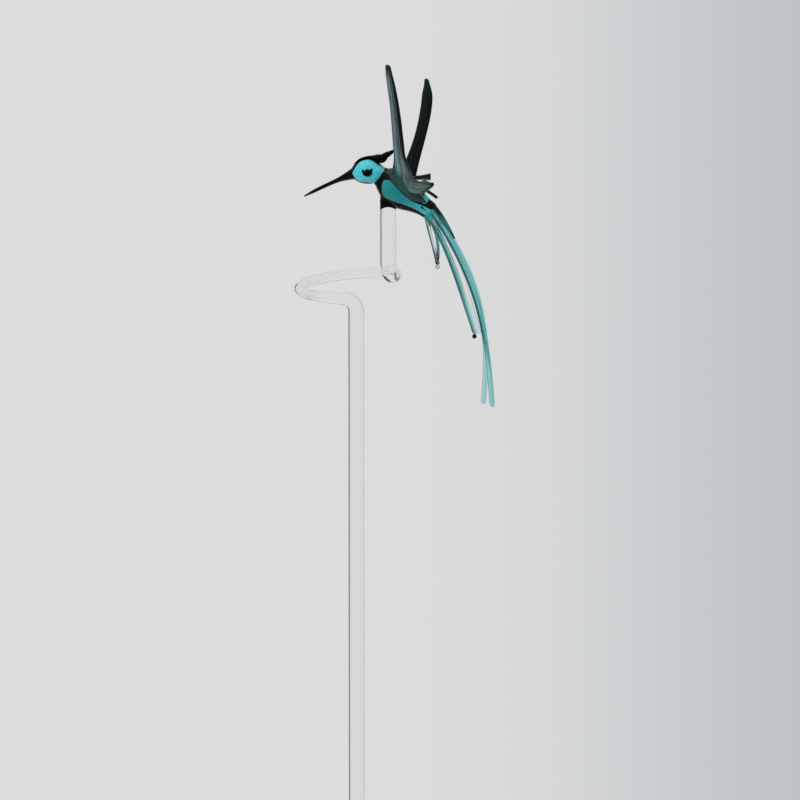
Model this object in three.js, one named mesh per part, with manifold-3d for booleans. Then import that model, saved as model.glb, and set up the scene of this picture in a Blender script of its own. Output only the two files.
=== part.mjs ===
// Glass orchid stake: a clear rod bent into an open stem loop, with a flameworked hummingbird on its post.
// Millimetres and degrees, +Z up. The origin is the centre of the stake's foot, and the bird faces -X.
import * as THREE from "three";
import { mergeVertices } from "three/addons/utils/BufferGeometryUtils.js";
import Module from "manifold-3d";

// Clear rod
const STAKE_HEIGHT = 410; // foot to the centre line of the loop's first strand
const ROD_DIAMETER = 6;
const FOOT_ROUND = 0.8; // fire-polished edge of the foot
const LOOP_DIAMETER = 36.8; // across its centre line
const LOOP_ROD_DIAMETER = 4; // the rod is drawn thinner round the stem
const LOOP_START_ANGLE = -96; // seen from above, where the loop leaves the stake
const LOOP_SWEEP = 287;
const LOOP_RISE = 7; // from the first strand to the last
const BEND_RADIUS = 5; // of the bends between the loop and its two uprights
const POST_LENGTH = 22.7; // upper bend to the bird's belly

// Space that stands for the melted seam between two pieces of glass
const FUSE_GAP = 0.3;

// Pose of the bird on its post
const BIRD_YAW = 15; // beak turned away from the viewer's side
const BIRD_ROLL = 6; // back leaning the same way

// Body
const BODY_LENGTH = 22; // neck to rump
const BODY_DEPTH = 14;
const BODY_WIDTH = 12;
const BODY_PITCH = 32.4; // tail end down
const BREAST_STATION = 8; // neck to the fullest section, which rests on the post
const NECK_DIAMETER = 7.6;
const RUMP_DIAMETER = 6.9;
const COLLAR_DIAMETER = 8;
const COLLAR_LENGTH = 1.5;

// Head
const HEAD_LENGTH = 14.8;
const HEAD_DEPTH = 9.8;
const HEAD_WIDTH = 9.4;
const HEAD_PITCH = 8; // beak end down
const HEAD_FORWARD = 4.3; // head centre in front of the neck
const HEAD_UP = 2.1; // and above it
const NAPE_ANGLE = 44; // the flat behind the crown looks back and up by this
const NAPE_DEPTH = 3.75; // head centre to that flat, before the cheeks go on
const BEAK_LENGTH = 20; // out of the head
const BEAK_PITCH = 27;
const BEAK_BOW = 0.8;
const BEAK_ROOT_DIAMETER = 5.2;
const BEAK_SHAFT_DIAMETER = 1.5;
const BEAK_TIP_DIAMETER = 0.6;
const CROWN_WIDTH = 4.2;
const CROWN_THICKNESS = 1.7;
const CROWN_START_ANGLE = 40; // over the head, from its front
const CREST_ANGLE = 131; // where the crest leaves the head
const CREST_LENGTH = 7.5; // pulled out behind the crown
const CREST_PITCH = 35.5;
const CREST_SAG = 0.15;
const CREST_TIP_DIAMETER = 0.6;
const EYE_DIAMETER = 4;
const EYE_HEIGHT = 2.6; // through the flattened bead
const EYE_BACK = 0.3; // behind the head's centre
const EYE_DROP = 0.75; // and below it

// Coloured glass laid on the head and body
const PATCH_THICKNESS = 0.6;
const CHEEK_LENGTH = 13.6;
const CHEEK_DEPTH = 9.6;
const CHEEK_BACK = 0.3; // its centre behind the head's
const CHEEK_DROP = 0.45; // and below it
const FLANK_START = 2.6; // neck to the panel's front
const FLANK_TOP = 1.8; // above the body's axis
const FLANK_RUMP_TOP = 0.6; // above the axis at the rump
const FLANK_BREAST_DEPTH = 5; // below the axis at the breast
const FLANK_TAIL_DEPTH = 2.25; // below the axis at the rump
const RUMP_PATCH_FORWARD = 2.7; // its middle in front of the rump, on the back
const RUMP_PATCH_LENGTH = 2.9;
const RUMP_PATCH_WIDTH = 1.7;
const RUMP_PATCH_OFFSET = 2.2; // to the bird's left

// Wings
const SHOULDER_STATION = 10.6; // neck to the wing roots
const SHOULDER_ANGLE = 76; // round the body from its back
const WING_EMBED = 0.9; // root below the body's surface
const WING_THICKNESS = 2.2;
const LEFT_WING_RISE = 45.3;
const LEFT_WING_SPREAD = 5.1;
const LEFT_WING_SWEEP = 5.5; // tip forward of the root
const LEFT_WING_CHORD = 4;
const LEFT_WING_ROOT_CHORD = 15.5;
const LEFT_WING_TIP_CHORD = 2.2;
const LEFT_WING_BOW = [1.4, -0.4, 0]; // back, right and up, a third of the way out
const LEFT_WING_HOOK = [1.4, -0.4, 0]; // and two thirds of the way
const RIGHT_WING_RISE = 41;
const RIGHT_WING_SPREAD = 20.8;
const RIGHT_WING_SWEEP = -0.2;
const RIGHT_WING_CHORD = 4.4;
const RIGHT_WING_ROOT_CHORD = 9;
const RIGHT_WING_TIP_CHORD = 1.9;
const RIGHT_WING_BOW = [-1.3, 0, 0];
const RIGHT_WING_HOOK = [4, 0, 0];
const LOBE_THICKNESS = 1.6;
const LEFT_LOBE_CHORD = 5.6;
const LEFT_LOBE_REACH = 11.95; // behind the shoulder
const LEFT_LOBE_RISE = 2.15; // above the shoulder
const LEFT_LOBE_SPREAD = 2.2; // out from the shoulder
const LEFT_LOBE_START = [1.8, -0.3, 4.5]; // inside the blade, from the shoulder
const LEFT_LOBE_LEAVES = [0.2, 0, -3.5]; // pull of the curve at its start
const LEFT_LOBE_HANGS = [-6, 0.5, -2.2]; // and at its tip
const RIGHT_LOBE_CHORD = 2.7;
const RIGHT_LOBE_REACH = 7.4;
const RIGHT_LOBE_RISE = 4.9;
const RIGHT_LOBE_SPREAD = 2.6;
const RIGHT_LOBE_START = [1.2, 0.4, 4.3];
const RIGHT_LOBE_LEAVES = [2, 0.9, 0.1];
const RIGHT_LOBE_HANGS = [-2, -0.6, -0.3];
const TERTIAL_CHORD = 2.8;
const TERTIAL_THICKNESS = 1;
const TERTIAL_REACH = 10.7;
const TERTIAL_RISE = -2.8;
const TERTIAL_SPREAD = 0.6;
const TERTIAL_START = [1.7, -0.2, 1.8];
const TERTIAL_LEAVES = [3.4, 0.4, -1.1];
const TERTIAL_HANGS = [-2.6, -0.1, 1.9];

// Tail rods: each root's place on the rump's end, then the tip, then the pull of the curve at either end
const TAIL_EMBED = 2.4; // roots inside the rump
const STREAMER_DIAMETER = 1.95;
const STREAMER_ROOT_BACK = 0.9;
const STREAMER_ROOT_SIDE = 1.35;
const LEFT_STREAMER_REACH = 27; // behind the rump
const LEFT_STREAMER_DROP = 71.9; // below the rump
const LEFT_STREAMER_ACROSS = -1;
const LEFT_STREAMER_LEAVES = [20.4, -1, -27.6];
const LEFT_STREAMER_HANGS = [-2.8, 0, 26.4];
const RIGHT_STREAMER_REACH = 23;
const RIGHT_STREAMER_DROP = 71;
const RIGHT_STREAMER_ACROSS = 1.5;
const RIGHT_STREAMER_LEAVES = [17.3, 1.2, -22.7];
const RIGHT_STREAMER_HANGS = [2, 0.6, 32.7];
const MID_FEATHER_DIAMETER = 1.8;
const MID_ROOT_BACK = -0.9;
const MID_ROOT_SIDE = 2.25;
const LEFT_MID_REACH = 20.2;
const LEFT_MID_DROP = 44.9;
const LEFT_MID_ACROSS = -4;
const LEFT_MID_LEAVES = [9, -1, -12.8];
const LEFT_MID_HANGS = [-6.1, 0.4, 16.1];
const RIGHT_MID_REACH = 20.5;
const RIGHT_MID_DROP = 44.8;
const RIGHT_MID_ACROSS = 1;
const RIGHT_MID_LEAVES = [10.3, 0, -13];
const RIGHT_MID_HANGS = [-5.8, 0, 16.5];
const SHORT_FEATHER_DIAMETER = 1.2;
const SHORT_ROOT_BACK = -2.3;
const SHORT_ROOT_SIDE = 1.6;
const SHORT_REACH = 4.2;
const SHORT_DROP = 20;
const SHORT_TIP_SPACING = 1.2;
const LEFT_SHORT_LEAVES = [2.2, 0, -5.5];
const LEFT_SHORT_HANGS = [-0.6, 0, 6];
const MIDDLE_SHORT_LEAVES = [4.6, 0, -5];
const MIDDLE_SHORT_HANGS = [0.4, 0, 6];
const RIGHT_SHORT_LEAVES = [0.2, 0, -6];
const RIGHT_SHORT_HANGS = [-1.8, 0, 6];
const MID_BEAD_DIAMETER = 1.7;
const SHORT_BEAD_DIAMETER = 1.6;

// Dark stroke over the roots of the tail
const COVERT_OVERLAP = 2.5; // onto the rump
const COVERT_EMBED = 1; // root below the rump's surface
const COVERT_REACH = 10.2;
const COVERT_DROP = 10.1;
const COVERT_BOW = [0.8, 0, 1];
const COVERT_WIDTH = 4.4;
const COVERT_THICKNESS = 2.3;

// Facets
const ROD_SIDES = 20;
const STROKE_SIDES = 10;
const WING_SIDES = 12;
const TAIL_SIDES = 8;
const BODY_SIDES = 24;
const BODY_STATIONS = 10;
const HEAD_RINGS = 14;
const BEAD_SIDES = 12;
const BEAD_RINGS = 8;
const LOOP_SIDES = 12;
const LOOP_STEPS = 56;
const WING_STEPS = 16;
const STROKE_STEPS = 14;
const LOBE_STEPS = 8;
const TAIL_STEP = 6; // length of rod to a step, after the first few
const TIP_RINGS = 3;
const MERGE_TOLERANCE = 1e-4;

const wasm = await Module();
wasm.setup();
const { degToRad, lerp, smoothstep } = THREE.MathUtils;
const vec = (x, y, z) => new THREE.Vector3(x, y, z);

// Solids and meshes

function solid(geometry) {
  const bare = geometry.clone();
  bare.deleteAttribute("normal");
  bare.deleteAttribute("uv");
  const merged = mergeVertices(bare, MERGE_TOLERANCE);
  const vertProperties = new Float32Array(merged.attributes.position.array);
  const triVerts = new Uint32Array(merged.index.array);
  return new wasm.Manifold(new wasm.Mesh({ numProp: 3, vertProperties, triVerts }));
}

function meshGeometry(made) {
  const { vertProperties, triVerts } = made.getMesh();
  const geometry = new THREE.BufferGeometry();
  geometry.setAttribute("position", new THREE.BufferAttribute(vertProperties, 3));
  geometry.setIndex(new THREE.BufferAttribute(triVerts, 1));
  geometry.computeVertexNormals();
  return geometry;
}

// A piece of glass melted onto others: cut back by the seam from each of them
function fused(shape, ...neighbours) {
  return neighbours.reduce((rest, neighbour) => rest.subtract(neighbour(FUSE_GAP)), shape(0));
}

// Closed skin over rings of points, each ring counted round its direction of travel
function skin(rings) {
  const sides = rings[0].length;
  const points = rings.flat();
  const faces = [];
  for (let i = 0; i + 1 < rings.length; i++) {
    for (let j = 0; j < sides; j++) {
      const next = (j + 1) % sides;
      const [a, b, c, d] = [i * sides + j, i * sides + next, (i + 1) * sides + j, (i + 1) * sides + next];
      faces.push(a, b, c, b, d, c);
    }
  }
  const centre = (ring) => ring.reduce((sum, point) => sum.add(point), vec(0, 0, 0)).divideScalar(sides);
  const first = points.push(centre(rings[0])) - 1;
  const last = points.push(centre(rings.at(-1))) - 1;
  const lastRing = (rings.length - 1) * sides;
  for (let j = 0; j < sides; j++) {
    const next = (j + 1) % sides;
    faces.push(first, next, j, last, lastRing + j, lastRing + next);
  }
  return new THREE.BufferGeometry().setFromPoints(points).setIndex(faces);
}

// A stroke of glass along a path. Sizes are [half width, half thickness] at even steps along it, and the
// width lies along a chord that turns from the first chord to the last. Where the stroke is wider than its
// held half width, it widens against the chord only. What it returns grows all over.
function stroke({
  path,
  sizes,
  chords,
  held = Infinity,
  steps = STROKE_STEPS,
  sides = STROKE_SIDES,
  roundTip = true,
}) {
  const spread = new THREE.SplineCurve(sizes.map((size) => new THREE.Vector2(...size)));
  const frames = chords ? null : path.computeFrenetFrames(steps);
  return (grow = 0) => {
    const ringAt = (u, index, advance, scale) => {
      const tangent = frames ? frames.tangents[index] : path.getTangentAt(u);
      const chord = frames ? frames.normals[index] : chords[0].clone().lerp(chords[1], u).normalize();
      const normal = tangent.clone().cross(chord).normalize();
      const size = spread.getPoint(u).addScalar(grow);
      const centre = path.getPointAt(u).addScaledVector(tangent, advance(size.x));
      centre.addScaledVector(chord, -Math.max(size.x - grow - held, 0));
      return Array.from({ length: sides }, (_, j) => {
        const angle = (2 * Math.PI * j) / sides;
        return centre
          .clone()
          .addScaledVector(chord, Math.cos(angle) * size.x * scale)
          .addScaledVector(normal, Math.sin(angle) * size.y * scale);
      });
    };
    const rings = [];
    for (let i = 0; i <= steps; i++) {
      const end = i === 0 ? -grow : i === steps && !roundTip ? grow : 0;
      rings.push(ringAt(i / steps, i, () => end, 1));
    }
    for (let k = 1; roundTip && k <= TIP_RINGS; k++) {
      const turn = (k / (TIP_RINGS + 0.5)) * (Math.PI / 2);
      rings.push(ringAt(1, steps, (half) => half * Math.sin(turn), Math.cos(turn)));
    }
    return solid(skin(rings));
  };
}

// A turned solid: profile points are [radius, height], from the axis back to the axis
function turned(profile, sides) {
  return new THREE.LatheGeometry(profile.map((point) => new THREE.Vector2(...point)), sides);
}

// Clear rod

const rodRadius = ROD_DIAMETER / 2;
const loopRadius = LOOP_DIAMETER / 2;
const loopStart = degToRad(LOOP_START_ANGLE);
const loopEnd = loopStart - degToRad(LOOP_SWEEP);
const heading = (angle) => vec(Math.sin(angle), -Math.cos(angle), 0);
const outward = (angle) => vec(Math.cos(angle), Math.sin(angle), 0);
const loopEntry = heading(loopStart).multiplyScalar(BEND_RADIUS).setZ(STAKE_HEIGHT);
const loopCentre = loopEntry.clone().addScaledVector(outward(loopStart), -loopRadius);
const loopExit = loopCentre.clone().addScaledVector(outward(loopEnd), loopRadius).add(vec(0, 0, LOOP_RISE));
const postFoot = loopExit.clone().addScaledVector(heading(loopEnd), BEND_RADIUS).add(vec(0, 0, BEND_RADIUS));
const perch = postFoot.clone().add(vec(0, 0, POST_LENGTH));

// Centre line of the loop: a bend out of the stake, the turn round the stem, and a bend up into the post
class StemLine extends THREE.Curve {
  getPoint(t) {
    const bend = (Math.PI / 2) * BEND_RADIUS;
    const turn = degToRad(LOOP_SWEEP) * loopRadius;
    const run = t * (2 * bend + turn);
    if (run < bend) {
      const angle = run / BEND_RADIUS;
      const side = heading(loopStart).multiplyScalar(BEND_RADIUS * (1 - Math.cos(angle)));
      return side.setZ(STAKE_HEIGHT - BEND_RADIUS + BEND_RADIUS * Math.sin(angle));
    }
    if (run < bend + turn) {
      const share = (run - bend) / turn;
      const angle = lerp(loopStart, loopEnd, share);
      const rise = LOOP_RISE * smoothstep(share, 0, 1);
      return loopCentre.clone().addScaledVector(outward(angle), loopRadius).add(vec(0, 0, rise));
    }
    const angle = (run - bend - turn) / BEND_RADIUS;
    const along = heading(loopEnd).multiplyScalar(BEND_RADIUS * Math.sin(angle));
    return loopExit.clone().add(along).add(vec(0, 0, BEND_RADIUS * (1 - Math.cos(angle))));
  }
}

function stakeRod() {
  const top = STAKE_HEIGHT - BEND_RADIUS - FUSE_GAP;
  const profile = [[0, 0]];
  for (const turn of [0, 30, 60, 90]) {
    const angle = degToRad(turn);
    const radius = rodRadius - FOOT_ROUND * (1 - Math.sin(angle));
    profile.push([radius, FOOT_ROUND * (1 - Math.cos(angle))]);
  }
  profile.push([rodRadius, top], [0, top]);
  return turned(profile, ROD_SIDES).rotateX(Math.PI / 2);
}

function stemLoop() {
  const thin = LOOP_ROD_DIAMETER / 2;
  const radii = [rodRadius, thin, thin, thin, thin, thin, thin, rodRadius];
  const line = stroke({
    path: new StemLine(),
    sizes: radii.map((radius) => [radius, radius]),
    steps: LOOP_STEPS,
    sides: LOOP_SIDES,
    roundTip: false,
  });
  return line();
}

// The post reaches into the belly, which cuts its top to a saddle
const post = (grow = 0) => {
  const length = POST_LENGTH + BODY_DEPTH / 4;
  const bottom = FUSE_GAP - grow;
  const cylinder = new THREE.CylinderGeometry(rodRadius + grow, rodRadius + grow, length - bottom, ROD_SIDES);
  cylinder.rotateX(Math.PI / 2).translate(0, 0, (length + bottom) / 2);
  return cylinder.translate(postFoot.x, postFoot.y, postFoot.z);
};

// The bird's own frame has the perch as origin, +X towards the tail, +Y to its right and +Z up
const birdGroup = new THREE.Group();
birdGroup.position.copy(perch);
birdGroup.rotation.set(degToRad(-BIRD_ROLL), 0, degToRad(-BIRD_YAW), "ZYX");
birdGroup.updateMatrix();
const intoBird = birdGroup.matrix.clone().invert();
const postInBird = (grow) => solid(post(grow).applyMatrix4(intoBird));

// Body, whose own frame has +Y along it from neck to rump, +X out of its back and +Z to the right

const bodyAxis = vec(Math.cos(degToRad(BODY_PITCH)), 0, -Math.sin(degToRad(BODY_PITCH)));
const bodyBack = vec(Math.sin(degToRad(BODY_PITCH)), 0, Math.cos(degToRad(BODY_PITCH)));
const neck = bodyBack.clone().multiplyScalar(BODY_DEPTH / 2).addScaledVector(bodyAxis, -BREAST_STATION);
const bodyFrame = new THREE.Matrix4().makeBasis(bodyBack, bodyAxis, vec(0, 1, 0)).setPosition(neck);
const onBody = (back, station, right) => vec(back, station, right).applyMatrix4(bodyFrame);
const bodyFlattening = BODY_WIDTH / BODY_DEPTH;

function bodyRadius(station) {
  const full = BODY_DEPTH / 2;
  if (station < BREAST_STATION) {
    return lerp(NECK_DIAMETER / 2, full, Math.sin((Math.PI / 2) * (station / BREAST_STATION)));
  }
  const share = Math.min((station - BREAST_STATION) / (BODY_LENGTH - BREAST_STATION), 1);
  return lerp(RUMP_DIAMETER / 2, full, (1 + Math.cos(Math.PI * share)) / 2);
}

function bodySolid(profile) {
  return solid(turned(profile, BODY_SIDES).scale(1, 1, bodyFlattening).applyMatrix4(bodyFrame));
}

function bodyCore(grow = 0) {
  const start = COLLAR_LENGTH + FUSE_GAP;
  const profile = [[0, start - grow]];
  for (let i = 0; i <= BODY_STATIONS; i++) {
    const station = lerp(start, BODY_LENGTH, i / BODY_STATIONS);
    profile.push([bodyRadius(station) + grow, i === 0 ? station - grow : station]);
  }
  const end = RUMP_DIAMETER / 2 + grow;
  for (const turn of [30, 60]) {
    profile.push([end * Math.cos(degToRad(turn)), BODY_LENGTH + end * Math.sin(degToRad(turn))]);
  }
  profile.push([0, BODY_LENGTH + end]);
  return bodySolid(profile);
}

function neckCollar(grow = 0) {
  const profile = [[0, -grow]];
  for (const share of [0, 0.25, 0.5, 0.75, 1]) {
    const radius = lerp(NECK_DIAMETER, COLLAR_DIAMETER, Math.sin(Math.PI * share)) / 2 + grow;
    profile.push([radius, lerp(-grow, COLLAR_LENGTH + grow, share)]);
  }
  profile.push([0, COLLAR_LENGTH + grow]);
  return bodySolid(profile);
}

// Head

const headCentre = neck.clone().add(vec(-HEAD_FORWARD, 0, HEAD_UP));
const headFrame = new THREE.Matrix4().makeRotationY(degToRad(-HEAD_PITCH)).setPosition(headCentre);
const onHead = (back, right, up) => vec(back, right, up).applyMatrix4(headFrame);
const headFront = onHead(-HEAD_LENGTH / 2, 0, 0);

// Everything behind the plane where the collar begins
const behindNeck = (grow = 0) => {
  const reach = 2 * HEAD_LENGTH;
  const block = new THREE.BoxGeometry(reach, reach, reach).translate(0, reach / 2 - grow, 0);
  return solid(block.applyMatrix4(bodyFrame));
};

// Everything behind the flat of the nape
const behindNape = (grow = 0) => {
  const reach = 2 * HEAD_LENGTH;
  const block = new THREE.BoxGeometry(reach, reach, reach).translate(reach / 2 + NAPE_DEPTH + grow, 0, 0);
  return solid(block.rotateY(degToRad(-NAPE_ANGLE)).applyMatrix4(headFrame));
};

const wholeHead = (grow = 0) => {
  const ball = new THREE.SphereGeometry(1, BODY_SIDES, HEAD_RINGS).rotateX(Math.PI / 2);
  ball.scale(HEAD_LENGTH / 2 + grow, HEAD_WIDTH / 2 + grow, HEAD_DEPTH / 2 + grow);
  return solid(ball.applyMatrix4(headFrame)).subtract(behindNape(grow));
};

const headCore = () => fused(wholeHead, behindNeck);
const dressedHead = (grow = 0) => wholeHead(FUSE_GAP + PATCH_THICKNESS + grow);

// Back and up from the horizontal by an angle, in the bird's middle plane
const slope = (angle, length) => {
  const turn = degToRad(angle);
  return vec(length * Math.cos(turn), 0, length * Math.sin(turn));
};
const sideways = [vec(0, 1, 0), vec(0, 1, 0)];
const upright = [vec(0, 0, 1), vec(0, 0, 1)];

const beakTip = headFront.clone().sub(slope(BEAK_PITCH, BEAK_LENGTH));
const beakRoot = headFront.clone().add(slope(HEAD_PITCH, BEAK_ROOT_DIAMETER / 2));
const beakBow = beakRoot.clone().lerp(beakTip, 0.5).add(vec(0, 0, BEAK_BOW));
const beakDiameters = [
  BEAK_ROOT_DIAMETER,
  lerp(BEAK_SHAFT_DIAMETER, BEAK_ROOT_DIAMETER, 0.5),
  lerp(BEAK_SHAFT_DIAMETER, BEAK_ROOT_DIAMETER, 0.12),
  BEAK_SHAFT_DIAMETER,
  lerp(BEAK_TIP_DIAMETER, BEAK_SHAFT_DIAMETER, 0.7),
  lerp(BEAK_TIP_DIAMETER, BEAK_SHAFT_DIAMETER, 0.4),
  BEAK_TIP_DIAMETER,
];
const beak = stroke({
  path: new THREE.QuadraticBezierCurve3(beakRoot, beakBow, beakTip),
  sizes: beakDiameters.map((diameter) => [diameter / 2, diameter / 2]),
  chords: sideways,
});

// The crown's stroke follows the head from the beak over the top, and the crest leaves it behind
const crown = (share) => {
  const angle = degToRad(lerp(CROWN_START_ANGLE, CREST_ANGLE, share));
  const lift = (CROWN_THICKNESS / 5) * Math.sin(Math.PI * share);
  const back = -Math.cos(angle) * (HEAD_LENGTH / 2 + lift);
  return onHead(back, 0, Math.sin(angle) * (HEAD_DEPTH / 2 + lift));
};
const crownLine = [0, 0.27, 0.54, 0.78, 1].map(crown);
const crestRoot = crownLine.at(-1);
const crestTip = crestRoot.clone().add(slope(CREST_PITCH, CREST_LENGTH));
const crestMiddle = crestRoot.clone().lerp(crestTip, 0.5).add(vec(0, 0, -CREST_SAG));
const crownCrest = stroke({
  path: new THREE.CatmullRomCurve3([...crownLine, crestMiddle, crestTip]),
  sizes: [
    [CROWN_WIDTH * 0.3, CROWN_THICKNESS * 0.12],
    [CROWN_WIDTH * 0.45, CROWN_THICKNESS * 0.23],
    [CROWN_WIDTH / 2, CROWN_THICKNESS * 0.25],
    [CROWN_WIDTH / 2, CROWN_THICKNESS * 0.4],
    [CROWN_WIDTH * 0.42, CROWN_THICKNESS],
    [CROWN_WIDTH * 0.24, CROWN_THICKNESS * 0.48],
    [CROWN_WIDTH * 0.12, CROWN_THICKNESS * 0.21],
    [CREST_TIP_DIAMETER / 2, CREST_TIP_DIAMETER / 2],
  ],
  chords: sideways,
});

// Side is -1 on the bird's left and 1 on its right

function cheekPatch(side) {
  const outline = new THREE.Shape();
  outline.absellipse(CHEEK_BACK, -CHEEK_DROP, CHEEK_LENGTH / 2, CHEEK_DEPTH / 2, 0, 2 * Math.PI);
  const block = new THREE.ExtrudeGeometry(outline, { depth: HEAD_WIDTH, bevelEnabled: false });
  block.translate(0, 0, side < 0 ? FUSE_GAP : -HEAD_WIDTH - FUSE_GAP).rotateX(Math.PI / 2);
  const sheet = dressedHead().intersect(solid(block.applyMatrix4(headFrame)));
  return fused(() => sheet, wholeHead, behindNeck, beak, crownCrest);
}

function eye(side) {
  const seat = FUSE_GAP + PATCH_THICKNESS;
  const place = onHead(EYE_BACK, side * (HEAD_WIDTH / 2 + seat), -EYE_DROP);
  const ball = new THREE.SphereGeometry(EYE_DIAMETER / 2, BEAD_SIDES, BEAD_RINGS);
  const bead = ball.scale(1, EYE_HEIGHT / EYE_DIAMETER, 1).translate(...place);
  return fused(() => solid(bead), dressedHead);
}

// Wings

function shoulder(side) {
  const radius = bodyRadius(SHOULDER_STATION) - WING_EMBED;
  const angle = degToRad(SHOULDER_ANGLE);
  return onBody(radius * Math.cos(angle), SHOULDER_STATION, side * radius * Math.sin(angle) * bodyFlattening);
}

// The blade flares into its root below its chord and tapers to its tip above it, by shares at even steps
function primary(side, { rise, spread, sweep, bow, hook, chord, rootChord, tipChord, flare, taper, held }) {
  const root = shoulder(side);
  const tip = root.clone().add(vec(-sweep, side * spread, rise));
  const pulled = (share, pull) => root.clone().lerp(tip, share).add(vec(...pull));
  const widths = flare.map((share) => lerp(chord, rootChord, share));
  widths.push(...taper.map((share) => lerp(chord, tipChord, share)));
  const fullness = [1.9, 1.4, 1.15, 1, 1, 0.95, 0.9, 0.8, 0.6];
  return stroke({
    path: new THREE.CubicBezierCurve3(root, pulled(1 / 3, bow), pulled(2 / 3, hook), tip),
    sizes: widths.map((width, i) => [width / 2, (fullness[i] * WING_THICKNESS) / 2]),
    chords: [bodyAxis, vec(1, 0, 0)],
    held,
    steps: WING_STEPS,
    sides: WING_SIDES,
  });
}

const wingLeftPrimary = primary(-1, {
  rise: LEFT_WING_RISE,
  spread: LEFT_WING_SPREAD,
  sweep: LEFT_WING_SWEEP,
  bow: LEFT_WING_BOW,
  hook: LEFT_WING_HOOK,
  chord: LEFT_WING_CHORD,
  rootChord: LEFT_WING_ROOT_CHORD,
  tipChord: LEFT_WING_TIP_CHORD,
  flare: [1, 0.47, 0.05, 0],
  taper: [0.18, 0.32, 0.42, 0.63, 1],
});
const wingRightPrimary = primary(1, {
  rise: RIGHT_WING_RISE,
  spread: RIGHT_WING_SPREAD,
  sweep: RIGHT_WING_SWEEP,
  bow: RIGHT_WING_BOW,
  hook: RIGHT_WING_HOOK,
  chord: RIGHT_WING_CHORD,
  rootChord: RIGHT_WING_ROOT_CHORD,
  tipChord: RIGHT_WING_TIP_CHORD,
  flare: [1, 0.34, 0.1, 0],
  taper: [0, 0, 0, 0.15, 1],
  held: RIGHT_WING_CHORD / 2,
});

// A short stroke out of the wing root, with its ends measured from the shoulder and pulled along its curve
function lobe(side, shape) {
  const { start, leaves, hangs, reach, rise, spread, chord, shares, thickness, chords, roundTip } = shape;
  const from = shoulder(side).add(vec(...start));
  const to = shoulder(side).add(vec(reach, side * spread, rise));
  const towards = (point, pull) => point.clone().add(vec(...pull));
  return stroke({
    path: new THREE.CubicBezierCurve3(from, towards(from, leaves), towards(to, hangs), to),
    sizes: shares.map((share) => [(share * chord) / 2, thickness / 2]),
    chords,
    steps: LOBE_STEPS,
    roundTip,
  });
}

const wingLeftSecondary = lobe(-1, {
  start: LEFT_LOBE_START,
  leaves: LEFT_LOBE_LEAVES,
  hangs: LEFT_LOBE_HANGS,
  reach: LEFT_LOBE_REACH,
  rise: LEFT_LOBE_RISE,
  spread: LEFT_LOBE_SPREAD,
  chord: LEFT_LOBE_CHORD,
  shares: [0.5, 0.9, 1, 0.95, 0.78, 0.29],
  thickness: LOBE_THICKNESS,
  chords: [vec(-1, 0, 0), vec(0.35, 0, -1).normalize()],
  roundTip: true,
});
const wingRightSecondary = lobe(1, {
  start: RIGHT_LOBE_START,
  leaves: RIGHT_LOBE_LEAVES,
  hangs: RIGHT_LOBE_HANGS,
  reach: RIGHT_LOBE_REACH,
  rise: RIGHT_LOBE_RISE,
  spread: RIGHT_LOBE_SPREAD,
  chord: RIGHT_LOBE_CHORD,
  shares: [0.6, 0.65, 0.7, 0.85, 1],
  thickness: LOBE_THICKNESS,
  chords: upright,
  roundTip: false,
});
const wingRightTertial = lobe(1, {
  start: TERTIAL_START,
  leaves: TERTIAL_LEAVES,
  hangs: TERTIAL_HANGS,
  reach: TERTIAL_REACH,
  rise: TERTIAL_RISE,
  spread: TERTIAL_SPREAD,
  chord: TERTIAL_CHORD,
  shares: [0.5, 1.2, 1.3, 1.05, 0.85],
  thickness: TERTIAL_THICKNESS,
  chords: sideways,
  roundTip: false,
});

const leftWingShapes = [wingLeftPrimary, wingLeftSecondary];
const rightWingShapes = [wingRightPrimary, wingRightSecondary, wingRightTertial];
const wingShapes = [...leftWingShapes, ...rightWingShapes];

// Tail

const rump = onBody(0, BODY_LENGTH, 0);

// A rod of glass out of the rump, and what a bead on its tip needs
function tailRod({ root, tip, leaves, hangs, diameters }) {
  const start = onBody(root.back, BODY_LENGTH + RUMP_DIAMETER / 2 - TAIL_EMBED, root.side);
  const end = rump.clone().add(vec(tip.reach, tip.across, -tip.drop));
  const towards = (point, pull) => point.clone().add(vec(...pull));
  const shape = stroke({
    path: new THREE.CubicBezierCurve3(start, towards(start, leaves), towards(end, hangs), end),
    sizes: diameters.map((diameter) => [diameter / 2, diameter / 2]),
    chords: sideways,
    steps: Math.round(TAIL_STEP + tip.drop / TAIL_STEP),
    sides: TAIL_SIDES,
  });
  return { shape, end, tipRadius: diameters.at(-1) / 2 };
}

const even = (diameter) => [1.15, 1.05, 1, 1, 1, 1.05].map((share) => share * diameter);
const tapered = (diameter) => [1.25, 1.1, 1, 0.9, 0.8].map((share) => share * diameter);

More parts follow.
